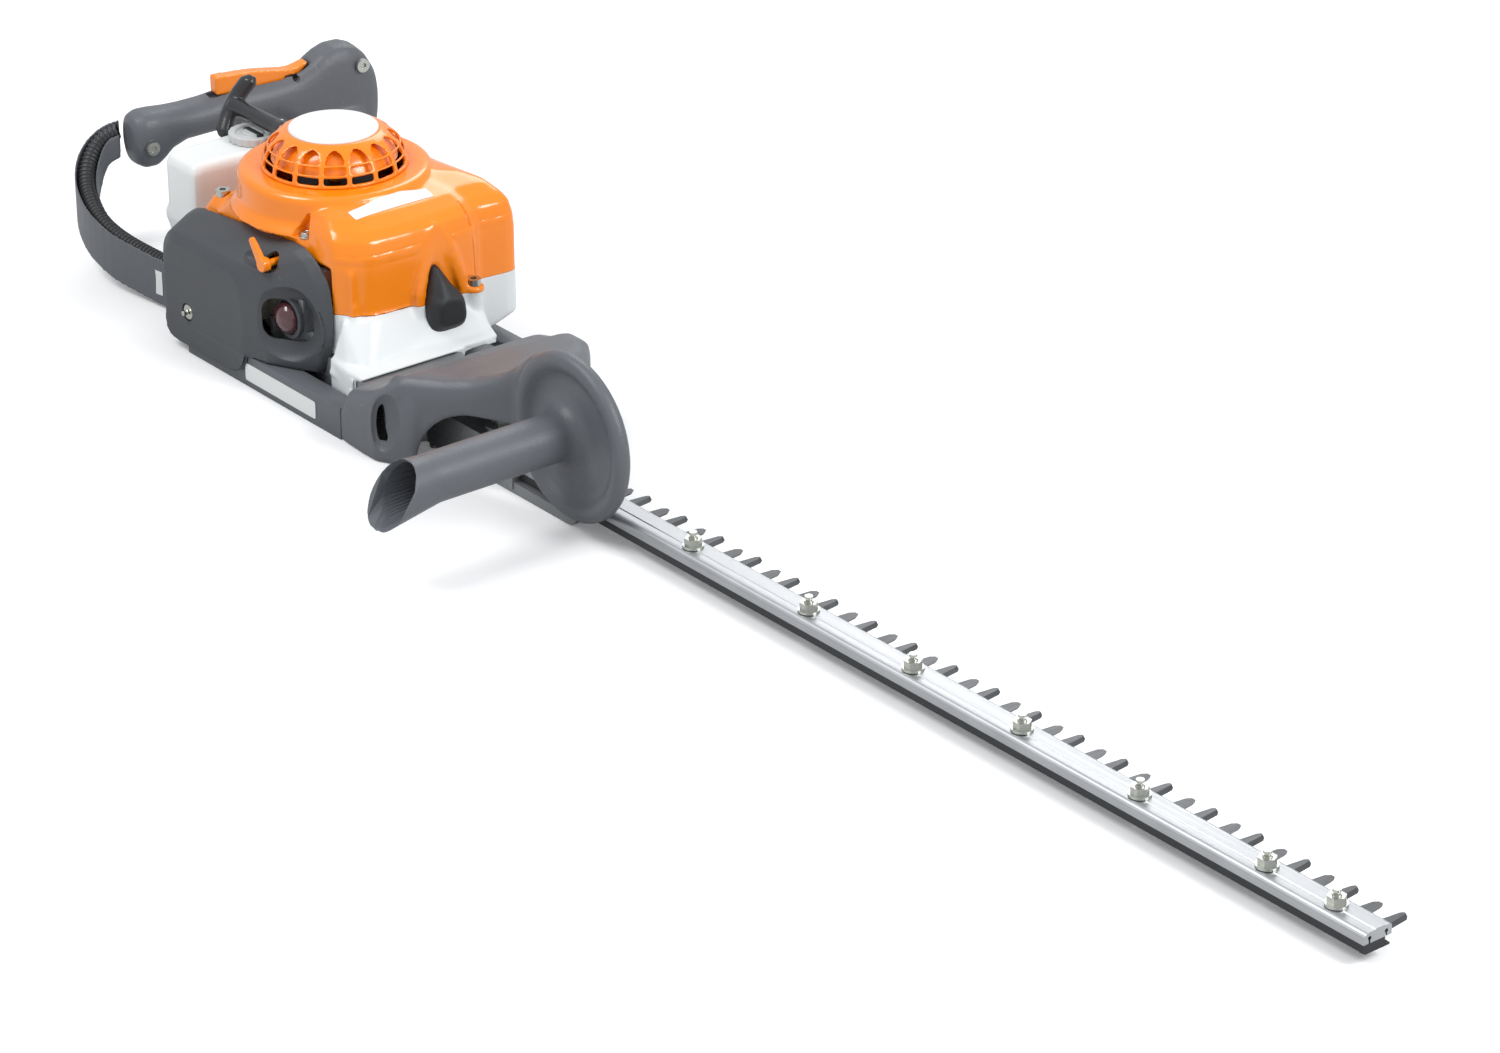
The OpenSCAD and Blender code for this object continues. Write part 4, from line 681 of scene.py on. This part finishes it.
# ---------------------------------------------------------------- fuel tank
# Blow-moulded polyethylene, milky and slightly see-through, with soft edges and a waist. A light
# grey ribbed cap with a dark rubber wing screws on its neck.
tank_milk = moulded("tank_milk", (0.80, 0.82, 0.81), 0.38, grain=1500, coat=0.15)
milk = tank_milk.node_tree.nodes["Principled BSDF"]
milk.inputs["Subsurface Weight"].default_value = 0.35
milk.inputs["Subsurface Radius"].default_value = (0.9, 0.9, 0.85)
milk.inputs["Subsurface Scale"].default_value = 0.006
tank = blow(weld("tank_form", "fuel_tank"), 1.2, 8)
apply(tank, "DECIMATE", ratio=0.5)
settle(tank, "milky_tank", tank_milk)
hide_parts("fuel_tank")
cap = blow(weld("cap_form", "fuel_cap"), 0.6, 2)
apply(cap, "DECIMATE", ratio=0.5)
cap_grey = moulded("cap_grey", (0.55, 0.57, 0.57), 0.40, grain=1500)
settle(cap, "ribbed_cap", cap_grey, "cap")
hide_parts("fuel_cap")
wing = bar((-144, 19.5, 112.5), (-124, 24.5, 116.2), round_by=1.2)
settle(wing, "cap_wing", rubber, "cap")

# ---------------------------------------------------------------- starter handle
# Glossy black T grip, moulded over the end of the starter's rope. Its bar is bent like a bow and
# swells towards rounded ends.
tee = blow(weld("tee_form", "starter_handle"), 0.8, 6)
apply(tee, "DISPLACE", strength=0.7 * mm, mid_level=0)
tee_black = moulded("tee_black", (0.022, 0.022, 0.025), 0.30, coat=0.2)
settle(tee, "tee_grip", tee_black, "starter")
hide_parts("starter_handle")

# ---------------------------------------------------------------- frame, bow and handles
# Dark grey glass-filled nylon, screwed together through the rails. The bow that carries the hose, the
# front handle with its hand-stop disc and flared grip, and the rear handle are thick mouldings with
# generous fillets. The lockout and the trigger hang on one end of the rear handle.
grip_x, grip_z = 323, 66
grip_way = (0, -1, -0.06)
dimple_x, dimple_z = 177, 32
rear_x, rear_y, rear_turn = -243 * mm, -5 * mm, math.radians(-6.3)
frame_grey = sanded("frame_grey", (0.118, 0.125, 0.138), 0.40)
for name in ("near_rail", "far_rail"):
    rail = weld(name + "_form", name)
    apply(rail, "BEVEL", width=1.4 * mm, segments=3, limit_method="ANGLE", angle_limit=math.radians(40))
    bpy.ops.object.shade_smooth_by_angle(angle=math.radians(35))
    settle(rail, name + "_moulding", frame_grey)
    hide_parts(name)

bow = blow(weld("bow_form", "rear_bow"), 0.95, 4)
apply(bow, "DECIMATE", ratio=0.5)
settle(bow, "hose_bow", frame_grey)
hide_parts("rear_bow")

front = weld("front_form", "front_handle", "front_grip")
# place of the near leg's skin, where a dimple is sunk into a thickened wall
leg = front.ray_cast(Vector((dimple_x, -150, dimple_z)) * mm, Vector((0, 1, 0)))[1].y / mm
add(front, rod((grip_x, -152, grip_z), 16.3, 46, grip_way, end=21.5),
    ball((dimple_x, leg + 8, dimple_z), (19, 7.5, 31)))
blow(front, 1.4, 6)
# the grip's open mouth is cut aslant, and its bore widens towards the mouth
mouth = bar((-60, -80, -90), (60, 0, 90))
mouth.data.transform(Matrix.Translation((grip_x * mm, -181 * mm, grip_z * mm))
                     @ Matrix.Rotation(math.radians(-33), 4, "X"))
cut(front, rod((grip_x, -64, grip_z), 13.4, 120, (0, -1, 0)),
    rod((grip_x, -148, grip_z), 13.2, 56, grip_way, end=20.5), mouth,
    ball((dimple_x, leg - 6, dimple_z), (14, 8, 25), (0, 14, 0)))
apply(front, "SMOOTH", factor=0.5, iterations=3)
apply(front, "DECIMATE", ratio=0.6)
settle(front, "front_handle_and_disc", frame_grey)
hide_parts("front_handle", "front_grip")

rear = blow(weld("rear_form", "rear_handle", "rear_arm"), 1.2, 8)
apply(rear, "DECIMATE", ratio=0.6)
settle(rear, "rear_handle_moulding", frame_grey)
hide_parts("rear_handle", "rear_arm")

# the blade is cut 14 mm wide, and the underside of its far end is cut away
lever = weld("lockout_form", "lockout_lever")
blade_place = Matrix.Translation((rear_x, rear_y, 0)) @ Matrix.Rotation(rear_turn, 4, "Z")
for low, high in (((-19, 0, 90), (-7, 160, 130)),
                  ((7, 0, 90), (19, 160, 130)),
                  ((-8, 117, 90), (8, 160, 108.4))):
    block = bar(low, high)
    block.data.transform(blade_place)
    cut(lever, block)
blow(lever, 0.7, 4)
settle(lever, "lockout_blade", orange, "lockout")
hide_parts("lockout_lever")
trigger = blow(weld("trigger_form", "throttle_trigger"), 0.7, 4)
settle(trigger, "trigger_blade", tee_black, "trigger")
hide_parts("throttle_trigger")

# ---------------------------------------------------------------- corrugated hose of the throttle cable
# Black nylon convoluted tube. It comes out below the filter, lies in the groove of the rear bow
# and ends in the collar of the rear handle. One ring is modelled and repeated along the route.
hose_r = 6.0 * mm
hose_pitch = 3.3 * mm
hose_sides = 20
hose_route = [
    (23, -67, 30.5), (8, -67, 30.5), (-16, -67, 30.5), (-48, -66, 30.5), (-76, -60, 30.5),
    (-100.4, -48.6, 30.5), (-117.5, -49, 30.5), (-136, -50.6, 31), (-155.3, -53.6, 32.5),
    (-179, -57.6, 35.2), (-200.5, -59.5, 39.1), (-218, -58.6, 44), (-232.3, -55.5, 48.9),
    (-243.2, -51.5, 54.1), (-250.4, -47.5, 59.5), (-255.5, -42.9, 65.2), (-258.9, -38, 70.7),
    (-260.6, -32.8, 76), (-260.5, -27.3, 80.9), (-258.5, -21.5, 85), (-254.3, -14.8, 88)]
hose_black = moulded("hose_black", (0.030, 0.031, 0.034), 0.42, grain=1500)
bpy.ops.curve.primitive_nurbs_path_add(location=(0, 0, 0))
route = bpy.context.object
spline = route.data.splines[0]
spline.points.add(len(hose_route) - len(spline.points))
for point, place in zip(spline.points, hose_route):
    point.co = tuple(c * mm for c in place) + (1,)
spline.order_u = 3
spline.use_endpoint_u = True
route.data.resolution_u = 8
route.data.use_path = True
# one ring: how far along its pitch, and the share of the radius there
hose_rows = [(0.0, 0.84), (0.18, 0.86), (0.34, 1.0), (0.66, 1.0), (0.82, 0.86), (1.0, 0.84)]
bpy.ops.mesh.primitive_grid_add(x_subdivisions=len(hose_rows) - 1, y_subdivisions=hose_sides, size=1)
hose = bpy.context.object
rows = sorted({round(v.co.x, 4) for v in hose.data.vertices})
for vertex in hose.data.vertices:
    along, share = hose_rows[rows.index(round(vertex.co.x, 4))]
    turn = 2 * math.pi * (vertex.co.y + 0.5)
    vertex.co = (along * hose_pitch, share * hose_r * math.cos(turn), share * hose_r * math.sin(turn))
length = sum((Vector(b) - Vector(a)).length for a, b in zip(hose_route, hose_route[1:])) * mm
apply(hose, "ARRAY", count=int(length / hose_pitch), use_merge_vertices=True, merge_threshold=0.0001,
      relative_offset_displace=(1, 0, 0))
apply(hose, "CURVE", object=route, deform_axis="POS_X")
apply(hose, "WELD", merge_threshold=0.00005)
bpy.data.objects.remove(route)
bpy.ops.object.mode_set(mode="EDIT")
bpy.ops.mesh.select_all(action="SELECT")
bpy.ops.mesh.normals_make_consistent(inside=False)
bpy.ops.object.mode_set(mode="OBJECT")
bpy.ops.object.shade_smooth_by_angle(angle=math.radians(50))
settle(hose, "corrugated_hose", hose_black)
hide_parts("cable_hose")

# ---------------------------------------------------------------- blank stickers
# Glossy white foil, glued on the shroud, the bow and the near rail, all bare. Each is pressed on the
# skin below it and stands off it by a hair.
foil_thickness = 0.3 * mm
foil = moulded("white_foil", (0.80, 0.81, 0.80), 0.22, depth=0.00001, coat=0.3)


def sticker(name, target, corners, axis="y", steps=24):
    """A foil between four corners in millimetres, pressed along an axis on the target's skin."""
    bpy.ops.object.select_all(action="DESELECT")
    bpy.ops.mesh.primitive_grid_add(x_subdivisions=steps, y_subdivisions=8, size=1)
    piece = bpy.context.object
    a, b, c, d = (Vector(p) * mm for p in corners)
    for vertex in piece.data.vertices:
        s, t = vertex.co.x + 0.5, vertex.co.y + 0.5
        vertex.co = (a * (1 - s) + b * s) * (1 - t) + (d * (1 - s) + c * s) * t
    down = axis == "z"
    apply(piece, "SHRINKWRAP", target=target, wrap_method="PROJECT", use_project_z=down,
          use_project_y=not down, use_negative_direction=down, use_positive_direction=not down,
          offset=foil_thickness)
    apply(piece, "SMOOTH", factor=0.5, iterations=20)
    apply(piece, "SOLIDIFY", thickness=foil_thickness, offset=0)
    bpy.ops.object.shade_smooth_by_angle(angle=math.radians(40))
    settle(piece, name, foil)


sticker("shroud_sticker", skin, [(64, -38, 150), (64, 32, 150), (77, 32, 150), (77, -38, 150)], "z")
sticker("bow_sticker", bow, [(-152, -60, 31), (-135, -60, 31), (-135, -60, 7), (-152, -60, 7)])
sticker("rail_sticker", bpy.data.objects["near_rail_moulding"],
        [(6, -86.5, 19.5), (98, -86.5, 19.5), (98, -86.5, 2.5), (6, -86.5, 2.5)])
